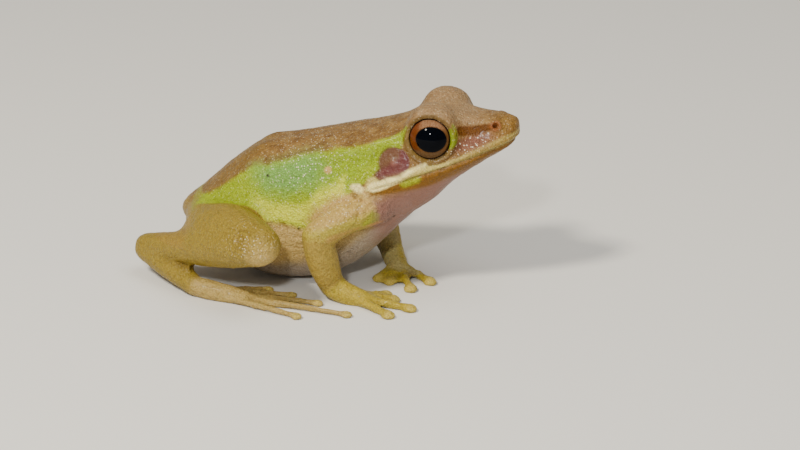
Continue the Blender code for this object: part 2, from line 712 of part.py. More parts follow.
def build():
    clear_scene()
    frog = new_collection("white_lipped_frog")
    cutters = new_collection("cutters")
    cutters.hide_render = True
    floor = box("below_floor", (-60 * MM, -60 * MM, -20 * MM), (60 * MM, 60 * MM, 0.0), cutters)
    bake_place(floor)
    trunk = make_trunk("trunk", frog)
    body_clearance = grown_copy(trunk, GAP, cutters)
    parts = part_trunk(trunk, frog, cutters)
    flatten_underneath(parts["torso"], floor)
    for side in (-1.0, 1.0):
        cut_eye_socket(parts["head"], side, cutters)
        cut_tympanum_recess(parts["head"], side, cutters)
        cut_nostril(parts["head"], side, cutters)
    keep_largest(parts["head"])
    skin = finish_material("back_skin", TAN, 0.45)
    limb_skin = finish_material("limb_skin", OLIVE, 0.45)
    throat_skin = finish_material("throat_skin", CREAM, 0.4)
    ear_skin = finish_material("ear_membrane", EAR_BROWN, 0.4)
    eye_gloss = finish_material("eye", EYE_BLACK, 0.08)
    painted = [(parts["head"], skin), (parts["torso"], skin), (parts["lower_jaw"], throat_skin)]
    for side in ("right", "left"):
        sign = -1.0 if side == "right" else 1.0
        painted.append((make_eye("eye_" + side, sign, frog), eye_gloss))
        painted.append((make_tympanum("tympanum_" + side, sign, frog), ear_skin))
        for segment in make_arm(side, frog, body_clearance, floor):
            painted.append((segment, limb_skin))
        for segment in make_leg(side, frog, cutters, body_clearance, floor):
            painted.append((segment, limb_skin))
    for obj, material in painted:
        obj.data.materials.clear()
        obj.data.materials.append(material)
        obj.data.shade_smooth()
        obj.data.set_sharp_from_angle(angle=math.radians(50.0))
    centre_on_floor([obj for obj, _ in painted])
    for cutter in cutters.objects:
        cutter.hide_render = True
        cutter.display_type = "WIRE"


build()
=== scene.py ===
"""White-lipped frog, life size, a still museum model: its looks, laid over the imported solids.

One skin covers all the flesh, and each eye is a piece of its own. Places are given in millimetres in the
frog's own frame: +X is forward, +Y its left, +Z up. The trunk's two sides mirror each other, so a mark on
the right side is given once and laid on both.
"""

import json
import math

import bpy
import numpy as np
from mathutils import Matrix, Vector, noise
from mathutils.bvhtree import BVHTree

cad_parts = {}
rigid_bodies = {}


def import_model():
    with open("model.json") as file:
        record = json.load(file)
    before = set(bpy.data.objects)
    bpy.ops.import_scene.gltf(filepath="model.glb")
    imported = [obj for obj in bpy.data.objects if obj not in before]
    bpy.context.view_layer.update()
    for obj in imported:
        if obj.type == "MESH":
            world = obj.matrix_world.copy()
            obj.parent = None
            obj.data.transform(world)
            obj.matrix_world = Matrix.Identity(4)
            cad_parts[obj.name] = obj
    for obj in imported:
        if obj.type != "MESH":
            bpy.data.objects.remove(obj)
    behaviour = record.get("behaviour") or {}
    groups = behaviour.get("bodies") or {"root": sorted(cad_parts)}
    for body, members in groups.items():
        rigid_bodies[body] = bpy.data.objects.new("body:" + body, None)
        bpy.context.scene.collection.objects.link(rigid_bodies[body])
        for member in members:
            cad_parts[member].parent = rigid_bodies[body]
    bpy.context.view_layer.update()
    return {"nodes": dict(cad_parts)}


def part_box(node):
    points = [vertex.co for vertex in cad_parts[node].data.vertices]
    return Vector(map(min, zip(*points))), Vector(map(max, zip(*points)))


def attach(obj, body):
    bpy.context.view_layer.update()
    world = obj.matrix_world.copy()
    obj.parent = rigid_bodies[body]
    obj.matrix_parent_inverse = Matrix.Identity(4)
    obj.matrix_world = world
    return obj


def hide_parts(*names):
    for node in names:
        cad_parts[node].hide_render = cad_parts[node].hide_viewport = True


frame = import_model()

MM = 0.001

# Places in the frog's own frame, in millimetres
EYE_CENTRE = Vector((12.12, -4.02, 21.44))
EYE_RADIUS = 3.0
PUPIL_HALF_LENGTH = 2.12
PUPIL_HALF_HEIGHT = 1.72
PUPIL_MEAN_HALF = 1.9
LID_AXIS = Vector((0.0988, -0.988, 0.1186))
GAZE = Vector((0.2227, -0.9636, 0.1476))
EAR_CENTRE = Vector((7.9, -6.4, 18.25))
EAR_AXIS = Vector((-0.12, -0.93, 0.34)).normalized()
EAR_RADIUS = 2.05
NOSTRIL = Vector((19.98, -2.25, 22.86))
JAW_CORNER = Vector((4.6, 0.0, 14.55))
MOUTH_SLOPE = math.radians(19.8)

eye_low, eye_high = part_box("eye_right")
SHIFT = (eye_low + eye_high) / 2 / MM - EYE_CENTRE

# Sizes of the skin's mesh, in millimetres
SWELL = 0.25
VOXEL = 0.34
# The covers that bridge the creases at the shoulders and thighs swell more and are meshed a little wider
COVER_SWELL = 0.7
COVER_VOXEL = 0.36
# Distances to the solids are looked for up to this one
FAR = 2.5
# What comes this near the floor is laid flat on it
LAID_FLAT = 0.07

# The fold that runs down each side of the back, where tan meets green
FOLD = [
    (9.3, -5.1, 22.2),
    (8.35, -5.29, 21.55),
    (6.46, -5.56, 20.80),
    (4.55, -5.74, 20.29),
    (1.23, -5.64, 19.57),
    (-1.80, -5.70, 18.79),
    (-4.71, -5.77, 18.01),
    (-7.54, -6.00, 17.08),
    (-11.03, -5.77, 15.96),
    (-12.82, -5.73, 14.83),
    (-13.93, -5.73, 13.77),
    (-17.00, -4.86, 11.54),
    (-19.09, -3.64, 10.51),
]
# Where the green of the side gives way to the cream of the flank
FLANK_EDGE = [
    (-18.04, 9.88),
    (-15.52, 10.59),
    (-12.63, 10.92),
    (-10.81, 10.77),
    (-9.09, 9.99),
    (-7.33, 9.77),
    (-5.35, 9.52),
    (-4.06, 9.19),
    (-3.02, 9.40),
    (-1.45, 10.99),
    (0.48, 12.04),
    (2.65, 14.29),
    (4.18, 15.41),
    (5.30, 16.6),
    (9.00, 19.4),
]
# Where the cream of the flank gives way to the paler belly
BELLY_EDGE = [
    (-18.6, 5.0),
    (-12.2, 3.6),
    (-8.5, 3.4),
    (-4.0, 4.0),
    (0.5, 6.0),
    (4.0, 9.0),
    (7.0, 12.0),
    (10.0, 14.0),
]
# The upper border of the thigh's own colour
THIGH_TOP = [
    (-19.75, -6.52, 9.94),
    (-14.51, -11.70, 12.53),
    (-11.20, -13.21, 12.98),
    (-8.93, -14.08, 12.70),
    (-6.50, -15.97, 12.14),
    (-4.61, -17.46, 11.13),
]
# The width of the cream stripe over the mouth, at places from the mouth's corner to the snout
LIP_STRIPE = [
    (4.0, 1.6),
    (8.0, 1.3),
    (12.0, 1.2),
    (13.7, 0.75),
    (15.5, 0.66),
    (17.2, 0.84),
    (19.0, 1.0),
    (21.5, 1.15),
]
# The white gland that runs back from the lip, and the line from the eye to the nostril
GLAND = [
    (2.77, -7.44, 14.95),
    (3.80, -7.37, 14.76),
    (4.84, -7.35, 14.85),
    (5.36, -7.33, 15.02),
    (6.92, -7.28, 15.68),
    (8.60, -6.90, 16.45),
    (10.29, -6.72, 17.54),
    (11.88, -6.33, 18.40),
]
CANTHUS = [
    (15.9, -4.0, 22.45),
    (16.34, -3.58, 22.35),
    (17.53, -3.15, 22.35),
    (18.72, -2.72, 22.62),
    (19.5, -2.3, 22.8),
]
# The green behind the eye and the green in front of it
EYE_STREAK = [(9.1, -5.4, 22.5), (8.4, -5.3, 21.5), (7.5, -5.6, 20.7), (5.9, -5.9, 20.1)]
EYE_BAR = [(15.28, -5.07, 23.4), (15.6, -5.0, 22.7), (15.75, -5.1, 21.9), (15.51, -5.4, 20.9)]
# The ridge over the line from the eye, the fold round the ear and the fold behind the arm
CANTHAL_RIDGE = [(15.6, -4.3, 23.3), (17.0, -3.3, 23.35), (18.6, -2.7, 23.3), (20.2, -2.0, 23.2)]
EAR_FOLD = [(9.0, -5.9, 20.3), (7.5, -6.1, 20.75), (5.7, -6.6, 20.1), (4.7, -7.1, 18.4), (4.3, -7.4, 16.5)]
ARM_FOLD = [(1.0, -7.9, 13.2), (-1.6, -8.1, 11.2), (-3.0, -8.2, 9.2), (-3.4, -8.0, 7.0)]
# The peach line along the upper arm, with greener skin above it
ARM_SEAM = [(0.6, -11.9, 9.2), (1.77, -11.41, 9.5), (3.15, -10.26, 9.8), (4.69, -8.6, 9.9), (6.3, -7.3, 10.6)]
# Fingers and toes: each one's angle and length, and for each hand or foot its root, heading and inner side
FINGERS = [(46.0, 4.2), (25.0, 5.0), (2.0, 7.8), (-24.0, 6.6)]
HANDS = [((0.3, -9.1), -8.0, 1.0), ((4.2, 5.7), -60.0, -1.0)]
TOES = [(27.0, 10.0), (17.0, 13.0), (8.0, 16.8), (0.0, 21.5), (-10.0, 16.0)]
FEET = [((-17.0, -12.3), -5.5, 1.0), ((-19.0, 18.0), 24.0, -1.0)]
# The middle of each knee's rings, the near knee's painted highlight, and where painted sparkle lies on either
# knee
KNEES = [(-8.97, -17.5, 10.4), (-6.6, 16.6, 10.7)]
KNEE_PAINTED_HIGHLIGHT = (-6.3, -17.3, 8.6)
KNEE_SHINE = (-7.5, -18.0, 9.8)
# The shoulder's point, round which loose skin lies in folds
SHOULDER = (3.2, -8.5, 13.2)
# The green spot on the jaw
JAW_SPOT = [(9.2, -6.9, 15.75), (11.0, -6.6, 16.4)]
# Dark specks and one peach spot, on the near side only
SPECKS = [
    (-8.57, -7.22, 15.32),
    (-10.98, -7.91, 11.26),
    (-4.2, -8.27, 8.9),
    (3.43, -7.49, 13.28),
    (7.59, -5.42, 10.78),
]
PEACH_SPOT = (-0.57, -7.24, 16.86)


def linear(hex_colour):
    """An sRGB hex colour as Blender's linear red, green, blue and alpha."""
    channels = [int(hex_colour[k : k + 2], 16) / 255 for k in (1, 3, 5)]
    return (*[c / 12.92 if c <= 0.04045 else ((c + 0.055) / 1.055) ** 2.4 for c in channels], 1.0)


def add_node(tree, kind, settings=None, inputs=None):
    """A node with its settings, and with its inputs set to values or fed by other nodes' sockets."""
    node = tree.nodes.new(kind)
    for name, value in (settings or {}).items():
        setattr(node, name, value)
    for key, value in (inputs or {}).items():
        if isinstance(value, bpy.types.NodeSocket):
            tree.links.new(value, node.inputs[key])
        else:
            node.inputs[key].default_value = value
    return node


def new_material(name):
    """A material with its node tree and its shader."""
    material = bpy.data.materials.new(name)
    material.use_nodes = True
    return material, material.node_tree, material.node_tree.nodes["Principled BSDF"]


def deselect_all():
    bpy.ops.object.select_all(action="DESELECT")


def make_active(obj):
    deselect_all()
    obj.select_set(True)
    bpy.context.view_layer.objects.active = obj


def apply_modifier(obj, modifier):
    make_active(obj)
    bpy.ops.object.modifier_apply(modifier=modifier.name)


# Points of a mesh, in the frog's own frame


def points_of(obj):
    """Where a mesh's points lie, as rows of millimetres."""
    flat = np.empty(len(obj.data.vertices) * 3)
    obj.data.vertices.foreach_get("co", flat)
    return flat.reshape(-1, 3) / MM - np.array(SHIFT)


def set_points(obj, points):
    obj.data.vertices.foreach_set("co", ((points + np.array(SHIFT)) * MM).ravel())
    obj.data.update()


def normals_of(obj):
    flat = np.empty(len(obj.data.vertices) * 3)
    obj.data.vertex_normals.foreach_get("vector", flat)
    return flat.reshape(-1, 3)


def edges_of(obj):
    flat = np.empty(len(obj.data.edges) * 2, int)
    obj.data.edges.foreach_get("vertices", flat)
    return flat.reshape(-1, 2)


def around(values, edges):
    """The mean of each point's neighbours."""
    count = len(values)
    ends = np.concatenate([edges[:, 0], edges[:, 1]])
    others = np.concatenate([edges[:, 1], edges[:, 0]])
    number = np.maximum(np.bincount(ends, minlength=count), 1)
    sums = [np.bincount(ends, weights=column[others], minlength=count) for column in values.T]
    return np.stack(sums, axis=1) / number[:, None]


def relax(points, edges, share, rounds):
    """Evens the points out, each by its own share, and lets them shrink."""
    share = np.broadcast_to(share, len(points))[:, None]
    for _ in range(rounds):
        points = points + (around(points, edges) - points) * share
    return points


def relax_keeping_size(points, edges, rounds):
    """Evens the points out with a step back after each step, so that thin parts stay as thick."""
    for _ in range(rounds):
        points = points + (around(points, edges) - points) * 0.5
        points = points - (around(points, edges) - points) * 0.52
    return points


def smooth_step(values, low, high):
    """From 0 at the low value to 1 at the high one, without a kink at either."""
    t = np.clip((values - low) / (high - low), 0.0, 1.0)
    return t * t * (3.0 - 2.0 * t)


def bell(distance, width):
    """1 at no distance, and soon 0 past the width."""
    return np.exp(-((distance / width) ** 2))


def mirrored(points):
    """The points with the left side laid over the right."""
    return points * np.where(points[:, 1:2] > 0, [[1.0, -1.0, 1.0]], 1.0)


def line_distance(points, line):
    """Each point's distance to a line through places, and how far along the line its nearest place is."""
    line = np.array(line, float)
    best = np.full(len(points), 1e9)
    along = np.zeros(len(points))
    done = 0.0
    for a, b in zip(line, line[1:]):
        length = np.linalg.norm(b - a)
        t = np.clip((points - a) @ (b - a) / length**2, 0.0, 1.0)
        distance = np.linalg.norm(points - a - t[:, None] * (b - a), axis=1)
        nearer = distance < best
        best = np.where(nearer, distance, best)
        along = np.where(nearer, done + t * length, along)
        done += length
    return best, along, done


def fade_ends(along, total, fade):
    """1 along a line, and down to 0 over its last stretch at each end."""
    return smooth_step(along, 0.0, fade) * smooth_step(total - along, 0.0, fade)


def radial(points, centre, axis):
    """Each point's height along an axis, and its distance from it."""
    offset = points - np.array(centre)
    height = offset @ np.array(axis)
    out = offset - height[:, None] * np.array(axis)
    return height, np.linalg.norm(out, axis=1), out


# The blank of the skin


FLESH = [name for name in sorted(frame["nodes"]) if not name.startswith("eye_")]


def joined_copies(name, solids):
    """Copies of some solids as one object, with the doubles of each merged."""
    deselect_all()
    copies = []
    for solid in solids:
        copy = bpy.data.objects.new(name, frame["nodes"][solid].data.copy())
        bpy.context.scene.collection.objects.link(copy)
        copy.select_set(True)
        copies.append(copy)
    bpy.context.view_layer.objects.active = copies[0]
    bpy.ops.object.join()
    copies[0].name = name
    bpy.ops.object.mode_set(mode="EDIT")
    bpy.ops.mesh.select_all(action="SELECT")
    bpy.ops.mesh.remove_doubles(threshold=0.001 * MM)
    bpy.ops.object.mode_set(mode="OBJECT")
    return copies[0]


def swell(obj, distance):
    """Moves the whole surface outwards."""
    make_active(obj)
    bpy.ops.object.mode_set(mode="EDIT")
    bpy.ops.mesh.select_all(action="SELECT")
    bpy.ops.transform.shrink_fatten(value=distance * MM)
    bpy.ops.object.mode_set(mode="OBJECT")


def remesh(obj, voxel):
    """One even surface round all that the object holds."""
    modifier = obj.modifiers.new("Remesh", "REMESH")
    modifier.mode = "VOXEL"
    modifier.voxel_size = voxel * MM
    apply_modifier(obj, modifier)
    drop_loose_shells(obj)


def draped(name, solids):
    """A skin drawn over solids that press together, so that it bridges the creases between them."""
    obj = joined_copies(name, solids)
    swell(obj, COVER_SWELL)
    remesh(obj, COVER_VOXEL)
    set_points(obj, relax_keeping_size(points_of(obj), edges_of(obj), 4))
    swell(obj, -COVER_SWELL)
    return obj


def skin_blank():
    """One closed skin round all the flesh: the solids swollen until they meet, remeshed and shrunk back."""
    skin = joined_copies("frog_skin", FLESH)
    shoulders = ["torso", "lower_jaw", "upper_arm_left", "upper_arm_right"]
    covers = [draped("shoulder_cover", shoulders)]
    for side in ("left", "right"):
        covers.append(draped("thigh_cover_" + side, ["torso", "thigh_" + side, "shank_" + side]))
    make_active(skin)
    for cover in covers:
        cover.select_set(True)
    bpy.ops.object.join()
    swell(skin, SWELL)
    remesh(skin, VOXEL)
    swell(skin, -SWELL)
    return skin


def drop_loose_shells(obj):
    """Keeps the outer skin and drops what the remesh closed off inside it."""
    points = points_of(obj)
    top = int(np.argmax(points[:, 2]))
    bpy.ops.object.mode_set(mode="EDIT")
    bpy.context.tool_settings.mesh_select_mode = (True, False, False)
    bpy.ops.mesh.select_all(action="DESELECT")
    bpy.ops.object.mode_set(mode="OBJECT")
    obj.data.vertices[top].select = True
    bpy.ops.object.mode_set(mode="EDIT")
    bpy.ops.mesh.select_linked()
    bpy.ops.mesh.select_all(action="INVERT")
    bpy.ops.mesh.delete(type="VERT")
    bpy.ops.object.mode_set(mode="OBJECT")


def refine(obj, chosen):
    """Splits each face whose corners are all among the chosen points into four."""
    bpy.ops.object.mode_set(mode="EDIT")
    bpy.context.tool_settings.mesh_select_mode = (False, False, True)
    bpy.ops.mesh.select_all(action="DESELECT")
    bpy.ops.object.mode_set(mode="OBJECT")
    picked = [all(chosen[v] for v in face.vertices) for face in obj.data.polygons]
    obj.data.polygons.foreach_set("select", picked)
    bpy.ops.object.mode_set(mode="EDIT")
    bpy.ops.mesh.subdivide(number_cuts=1, smoothness=0.0)
    bpy.ops.object.mode_set(mode="OBJECT")


def nearest_distance(points, names):
    """Each point's distance to the nearest of some solids."""
    best = np.full(len(points), 1e9)
    for name in names:
        data = frame["nodes"][name].data
        places = [v.co / MM - SHIFT for v in data.vertices]
        tree = BVHTree.FromPolygons(places, [tuple(p.vertices) for p in data.polygons])
        low = np.array([min(p[k] for p in places) for k in range(3)]) - FAR
        high = np.array([max(p[k] for p in places) for k in range(3)]) + FAR
        near = np.nonzero(np.all((points > low) & (points < high), axis=1))[0]
        for k in near:
            found = tree.find_nearest(points[k], FAR)
            if found[3] is not None and found[3] < best[k]:
                best[k] = found[3]
    return best


def belonging(own, others, soft=0.8):
    """From 0 to 1, how much each point belongs to its own solids rather than to the others."""
    own, others = np.minimum(own, 1.5), np.minimum(others, 1.5)
    return smooth_step(others - own, -soft, soft)


# Shaping of the skin


def mouth_height(points):
    """How far above the mouth line each point is, square to the line."""
    dx, dz = points[:, 0] - JAW_CORNER.x, points[:, 2] - JAW_CORNER.z
    return dz * math.cos(MOUTH_SLOPE) - dx * math.sin(MOUTH_SLOPE)


def grain(points, size):
    """Smooth noise from -1 to 1, with lumps of about the given size in millimetres."""
    return np.array([noise.noise(Vector(p) / size) for p in points])


def shoulder_folds(right_points):
    """Irregular folds of loose skin, from -2 in a furrow to 1 on a fold."""
    far = np.linalg.norm(right_points - np.array(SHOULDER), axis=1)
    return np.maximum(1.0 - 5.0 * np.abs(grain(right_points, 0.9)), -1.6) * bell(far, 2.2)


def knee_rings(points):
    """Rings of wrinkled skin round the middle of each knee, from -1 in a furrow to 1 on a ring."""
    rings = np.zeros(len(points))
    waver = 0.3 * grain(points, 1.5)
    for place in KNEES:
        knee = np.linalg.norm(points - np.array(place), axis=1)
        rings += np.sin((knee + waver) * 2 * math.pi / 0.8) * bell(knee, 2.3)
    return rings


def shape_lids(points, side_points, sign):
    """Draws the thin rims of the lids down to the eyeball."""
    height, out, direction = radial(side_points, EYE_CENTRE, LID_AXIS)
    below = smooth_step(-direction[:, 2], -1.8, 0.6)
    near = smooth_step(height, 0.5, 1.1) * smooth_step(3.75 - out, 0.0, 0.9)
    sink = near * (0.52 * smooth_step(3.3 - out, 0.0, 0.75) + 0.05)
    inward = near * 0.15 * smooth_step(3.15 - out, 0.0, 0.4)
    moved = -np.outer(sink, LID_AXIS) - direction / np.maximum(out, 0.1)[:, None] * inward[:, None]
    crest = near * 0.1 * bell(out - 3.1, 0.2) * below
    moved += np.outer(crest, LID_AXIS)
    furrow = smooth_step(height, 0.2, 0.9) * 0.12 * bell(out - 3.6, 0.18) * below
    moved -= np.outer(furrow, LID_AXIS)
    moved[:, 1] *= sign
    return points + moved


def shape_trunk(points, normals, trunk):
    """The raised and sunk lines of the head and body, each as a push along the skin's own direction."""
    p = mirrored(points)
    push = np.zeros(len(points))

    # The fold down each side of the back, and the beaded gland behind the lip
    distance, along, total = line_distance(p, FOLD)
    push += 0.2 * bell(distance, 0.5) * fade_ends(along, total, 3.0)

    distance, along, total = line_distance(p, GLAND)
    beads = 0.75 + 0.25 * np.cos(along * 2 * math.pi / 2.3)
    push += 0.32 * bell(distance, 0.62) * beads * fade_ends(along + 0.6, total + 1.5, 1.5)

    # The line of the mouth between its lips
    above = mouth_height(p)
    ahead = smooth_step(p[:, 0], 4.2, 6.2) * (p[:, 2] > 12.0)
    push -= 0.26 * bell(above, 0.15) * ahead
    push += 0.1 * bell(above - 0.42, 0.26) * ahead
    push += 0.06 * bell(above + 0.45, 0.3) * ahead

    # The groove and the ridge from the eye to the nostril, and the hollow under them
    distance, along, total = line_distance(p, CANTHUS)
    push -= 0.13 * bell(distance, 0.5) * fade_ends(along + 0.3, total + 0.3, 1.0)
    distance, along, total = line_distance(p, CANTHAL_RIDGE)
    push += 0.12 * bell(distance, 0.45) * fade_ends(along + 0.4, total, 1.5)
    lore = np.hypot((p[:, 0] - 17.3) / 2.6, (p[:, 2] - 20.9 - 0.3 * (p[:, 0] - 17.3)) / 1.0)
    push -= 0.22 * bell(lore, 1.0) * (p[:, 1] < -1.5)

    # The nostril in its raised rim
    distance = np.linalg.norm(p - np.array(NOSTRIL), axis=1)
    push += 0.3 * bell(distance - 0.48, 0.34)
    push -= 0.6 * bell(distance, 0.3)

    # The eardrum, sunk in its rim, with a knob in its middle
    distance, along, total = line_distance(p, EAR_FOLD)
    push += 0.2 * bell(distance, 0.5) * fade_ends(along, total, 1.6)
    height, out, _ = radial(p, EAR_CENTRE, EAR_AXIS)
    at_ear = bell(height, 1.2)
    push += at_ear * 0.05 * bell(out - 2.35, 0.22)
    push -= at_ear * 0.08 * bell(out - EAR_RADIUS, 0.2)
    push -= at_ear * 0.07 * bell(out - 1.1, 0.6)
    push += at_ear * 0.1 * bell(out, 0.42)

    # Wrinkles of the flank, and the fold behind the arm
    lumps = grain(p, 1.3)
    furrows = np.sin((p[:, 2] + 0.18 * p[:, 0] + 0.55 * lumps) * 2 * math.pi / 0.9)
    place = np.hypot((p[:, 0] + 4.6) / 2.6, (p[:, 2] - 7.4) / 2.4)
    push += 0.14 * furrows * (0.6 + 0.8 * lumps) * bell(place, 1.0) * (p[:, 1] < -3.0)
    distance, along, total = line_distance(p, ARM_FOLD)
    push += 0.2 * bell(distance, 0.45) * fade_ends(along, total, 2.0)
    push -= 0.12 * bell(distance - 0.85, 0.3) * fade_ends(along, total, 2.0)

    # Low warts all over, the furrow of the spine and the hump of the hip
    push += 0.035 * grain(p, 0.55) + 0.05 * lumps
    spine = smooth_step(p[:, 0], -17.0, -10.0) * smooth_step(6.0 - p[:, 0], 0.0, 4.0)
    push -= 0.12 * bell(p[:, 1], 0.8) * spine * (p[:, 2] > 10.0)
    hip = np.hypot(p[:, 0] + 10.5, (p[:, 1] + 2.4) * 1.3)
    push += 0.3 * bell(hip, 1.9) * (p[:, 2] > 12.0)
    # Loose folded skin over the shoulder, on the trunk and the arm alike
    return points + normals * (push * trunk + 0.2 * shoulder_folds(p))[:, None]


def shape_limbs(points, normals, limb):
    """Low swellings and creases of the limbs."""
    push = 0.05 * grain(points, 1.1) + 0.025 * grain(points, 0.5)
    push += 0.13 * knee_rings(points)
    return points + normals * (push * limb)[:, None]


def give(obj, name, values):
    """Stores a number for each point, for the materials to read."""
    attribute = obj.data.attributes.new(name, "FLOAT", "POINT")
    attribute.data.foreach_set("value", np.asarray(values, np.float32))


def curve_height(points, line):
    """How far above a line, given as forward place and height, each point is."""
    xs, zs = np.array(sorted(line)).T
    slope = np.gradient(zs, xs)
    steep = np.interp(points[:, 0], xs, slope)
    return (points[:, 2] - np.interp(points[:, 0], xs, zs)) / np.sqrt(1 + steep**2)


def fan_tips(roots, digits, palm):
    """Where the ends of the digits lie, for each hand or foot whose digits start a palm's length ahead."""
    tips = []
    for (root_x, root_y), heading, side in roots:
        heading = math.radians(heading)
        for angle, length in digits:
            spread = angle * 0.018 * side if palm else 0.0
            turn = heading + math.radians(angle) * side
            tip_x = root_x + palm * math.cos(heading) - spread * math.sin(heading) + length * math.cos(turn)
            tip_y = root_y + palm * math.sin(heading) + spread * math.cos(heading) + length * math.sin(turn)
            tips.append((tip_x, tip_y))
    return tips


def mark_skin(skin, points, normals, edges, parts):
    """Stores where each colour of the skin lies, as signed millimetres that are positive inside it."""
    p = mirrored(points)
    x, y, z = p.T
    trunk = parts["trunk"]
    above_fold = curve_height(p, [(a, c) for a, _, c in FOLD])
    above_fold = np.where(x > 9.3, 3.0, above_fold)
    above_flank = curve_height(p, FLANK_EDGE)
    # The green side with its emerald patch, and what lies under it
    tail_end = x + 19.4
    green = np.minimum(np.minimum(-above_fold, above_flank), 8.4 - x + 0.2 * (z - 19))
    # Taken square to a slant across the thigh, so that its whole crest is green
    slanted = [c + 0.36 * b for _, b, c in THIGH_TOP]
    above_thigh = z + 0.36 * y - np.interp(x, [a for a, _, _ in THIGH_TOP], slanted)
    by_trunk = smooth_step(2.4 - parts["trunk_far"], 0.0, 0.9)
    leg_top = parts["leg"] * by_trunk * smooth_step(above_thigh, -0.1, 0.5) * (x > -19.0)
    green = np.where(leg_top > 0.2, np.maximum(green, 0.8), green)
    beside = (trunk > 0.3) | ((above_thigh > -0.6) & (by_trunk > 0.1) & (x > -19.0))
    give(skin, "green", np.where(beside, np.minimum(green, tail_end), -3.0))
    # A band under the fold, along the front of the body, in a darker green that is partly the skin's own and
    # partly painted shade of the fold
    give(skin, "dark_green_and_fold_shade", np.minimum(np.minimum(green, 2.0 + above_fold), 0.5 * (x + 5.0)))
    emerald = 1.0 - np.hypot((x + 5.8) / 6.0, (z - 16.0 - 0.12 * (x + 5.8)) / 3.4)
    give(skin, "emerald", np.minimum(emerald * 3.3, 1.5 * (0.4 - above_fold)))
    low = np.minimum(2.6 + 0.8 * bell(x + 3.0, 3.0) - above_flank, above_flank + 0.5)
    give(skin, "green_low", np.minimum(low, np.minimum(1.5 * (2.0 - x), 0.4 * (x + 10.5))))
    lime = np.minimum(above_flank - 1.0, -above_fold)
    give(skin, "lime", np.where(x > -3.5, np.minimum(lime, (x + 3.5) * 0.6), -2.0))
    give(skin, "flank", np.minimum(np.minimum(-above_flank, x + 16.5), 0.5 * (6.4 - x)))
    under = -curve_height(p, BELLY_EDGE)
    give(skin, "belly", np.where(x < 10.0, np.minimum(under, 0.5 * (x + 17.0)), -2.0))

    # The crown and the rump
    crown = np.minimum(np.minimum(0.7 * (x - 9.0), 0.4 * (19.5 - x)), z - 22.6 + 0.4 * (y + 4.0))
    give(skin, "crown", np.where(x > 5.0, crown, -2.0))
    give(skin, "rump", np.where(z > 8.0, 0.6 * (-9.0 - x), -2.0))
    give(skin, "rump_end", np.where(z > 6.0, np.minimum(-18.0 - x, 9.6 - z), -2.0))
    give(skin, "rump_green", 1.2 - np.hypot(x + 19.5, 1.5 * (z - 10.3)))

    # The lip, the jaw, the throat and the gland
    above = mouth_height(p)
    stripe_places, stripe_widths = zip(*LIP_STRIPE)
    stripe_top = np.interp(x, stripe_places, stripe_widths)
    lip = np.minimum(np.minimum(above + 0.05, stripe_top - above), (x - 4.4) * 0.7)
    give(skin, "lip", np.where(z > 12.0, lip, -2.0))
    give(skin, "lip_front", np.where(z > 12.0, np.minimum(lip + 0.05, 0.5 * (x - 15.0)), -2.0))
    gold = np.minimum(-above, above + np.interp(x, [5.0, 12.0, 19.0, 22.0], [0.9, 1.9, 1.5, 1.0]))
    give(skin, "jaw", np.where(z > 11.0, np.minimum(gold, (x - 4.8) * 0.7), -2.0))
    give(skin, "throat", np.minimum(-above - 1.0, 0.7 * (x - 4.6)))
    distance, along, total = line_distance(p, GLAND)
    reach = np.interp(along, [0.0, 0.9, 1.7, 2.5, 5.0, total], [0.5, 0.8, 0.05, 0.68, 0.62, 0.3])
    give(skin, "gland", reach - distance)
    distance, _, _ = line_distance(p, JAW_SPOT)
    give(skin, "jaw_green", 0.42 - distance)

    # The dark line from the eye to the nostril, and the snout
    distance, along, total = line_distance(p, CANTHUS)
    canthus = 0.68 - distance - 0.2 * smooth_step(along, total - 2.0, total)
    give(skin, "canthus", canthus)
    lore = 1.0 - np.hypot((x - 17.2) / 3.4, (z - 20.95 - 0.28 * (x - 17.2)) / 1.2)
    give(skin, "lore", np.where(y < -1.2, lore, -1.0))
    distance = np.linalg.norm(p - np.array(NOSTRIL), axis=1)
    give(skin, "nostril", 0.95 - distance)
    # The dark of the nostril's opening is painted shade in its pit
    give(skin, "nostril_pit_shade", 0.3 - distance)
    give(skin, "snout", np.minimum(x - 19.0 + 2.5 * bell(above - 0.5, 0.8), above + 0.1))

    # The lids, and the green before and behind them
    height, out, direction = radial(p, EYE_CENTRE, LID_AXIS)
    near = np.where(height > 0.4, 0.0, -3.0)
    lower = smooth_step(-direction[:, 2], -1.8, 0.4)
    # The dark rim where the lid meets the eyeball is partly the lid's own dark edge and partly painted shade
    give(skin, "lid_rim_and_shade", 2.66 - out + near)
    give(skin, "lid", 3.2 + 0.2 * lower - out + near)
    give(skin, "lid_edge", 0.18 - np.abs(out - 2.92) + near - 0.15 * (1.0 - lower))
    give(skin, "lid_line", 0.12 - np.abs(out - 3.36) + near - 0.5 * (1.0 - lower))
    beside_eye = np.minimum(3.25 - out, 1.4 - np.abs(direction[:, 2] - 0.1))
    give(skin, "lid_front", np.minimum(direction[:, 0] - 2.4, beside_eye) + near)
    lid_height, lid_out = height, out
    streak, along, _ = line_distance(p, EYE_STREAK)
    give(skin, "eye_streak", 0.55 + 0.12 * along - streak)
    bar, _, _ = line_distance(p, EYE_BAR)
    give(skin, "eye_bar", 0.34 - bar)

    # The eardrum, whose colour runs a little way down behind it
    height, out, direction = radial(p, EAR_CENTRE, EAR_AXIS)
    near = np.where(np.abs(height) < 1.5, 0.0, -3.0)
    drawn_down = 0.9 * smooth_step(-direction[:, 2], 0.7, 1.9) * smooth_step(-direction[:, 0], -0.4, 1.0)
    give(skin, "ear", EAR_RADIUS - 0.05 + drawn_down - out + near)
    faint_ahead = 0.4 * smooth_step(direction[:, 0], -1.0, 0.5)
    give(skin, "ear_rim", 0.2 - np.abs(out - EAR_RADIUS - drawn_down) + near - faint_ahead)
    give(skin, "ear_knob", 0.55 - out + near)
    ear_height, ear_out = height, out

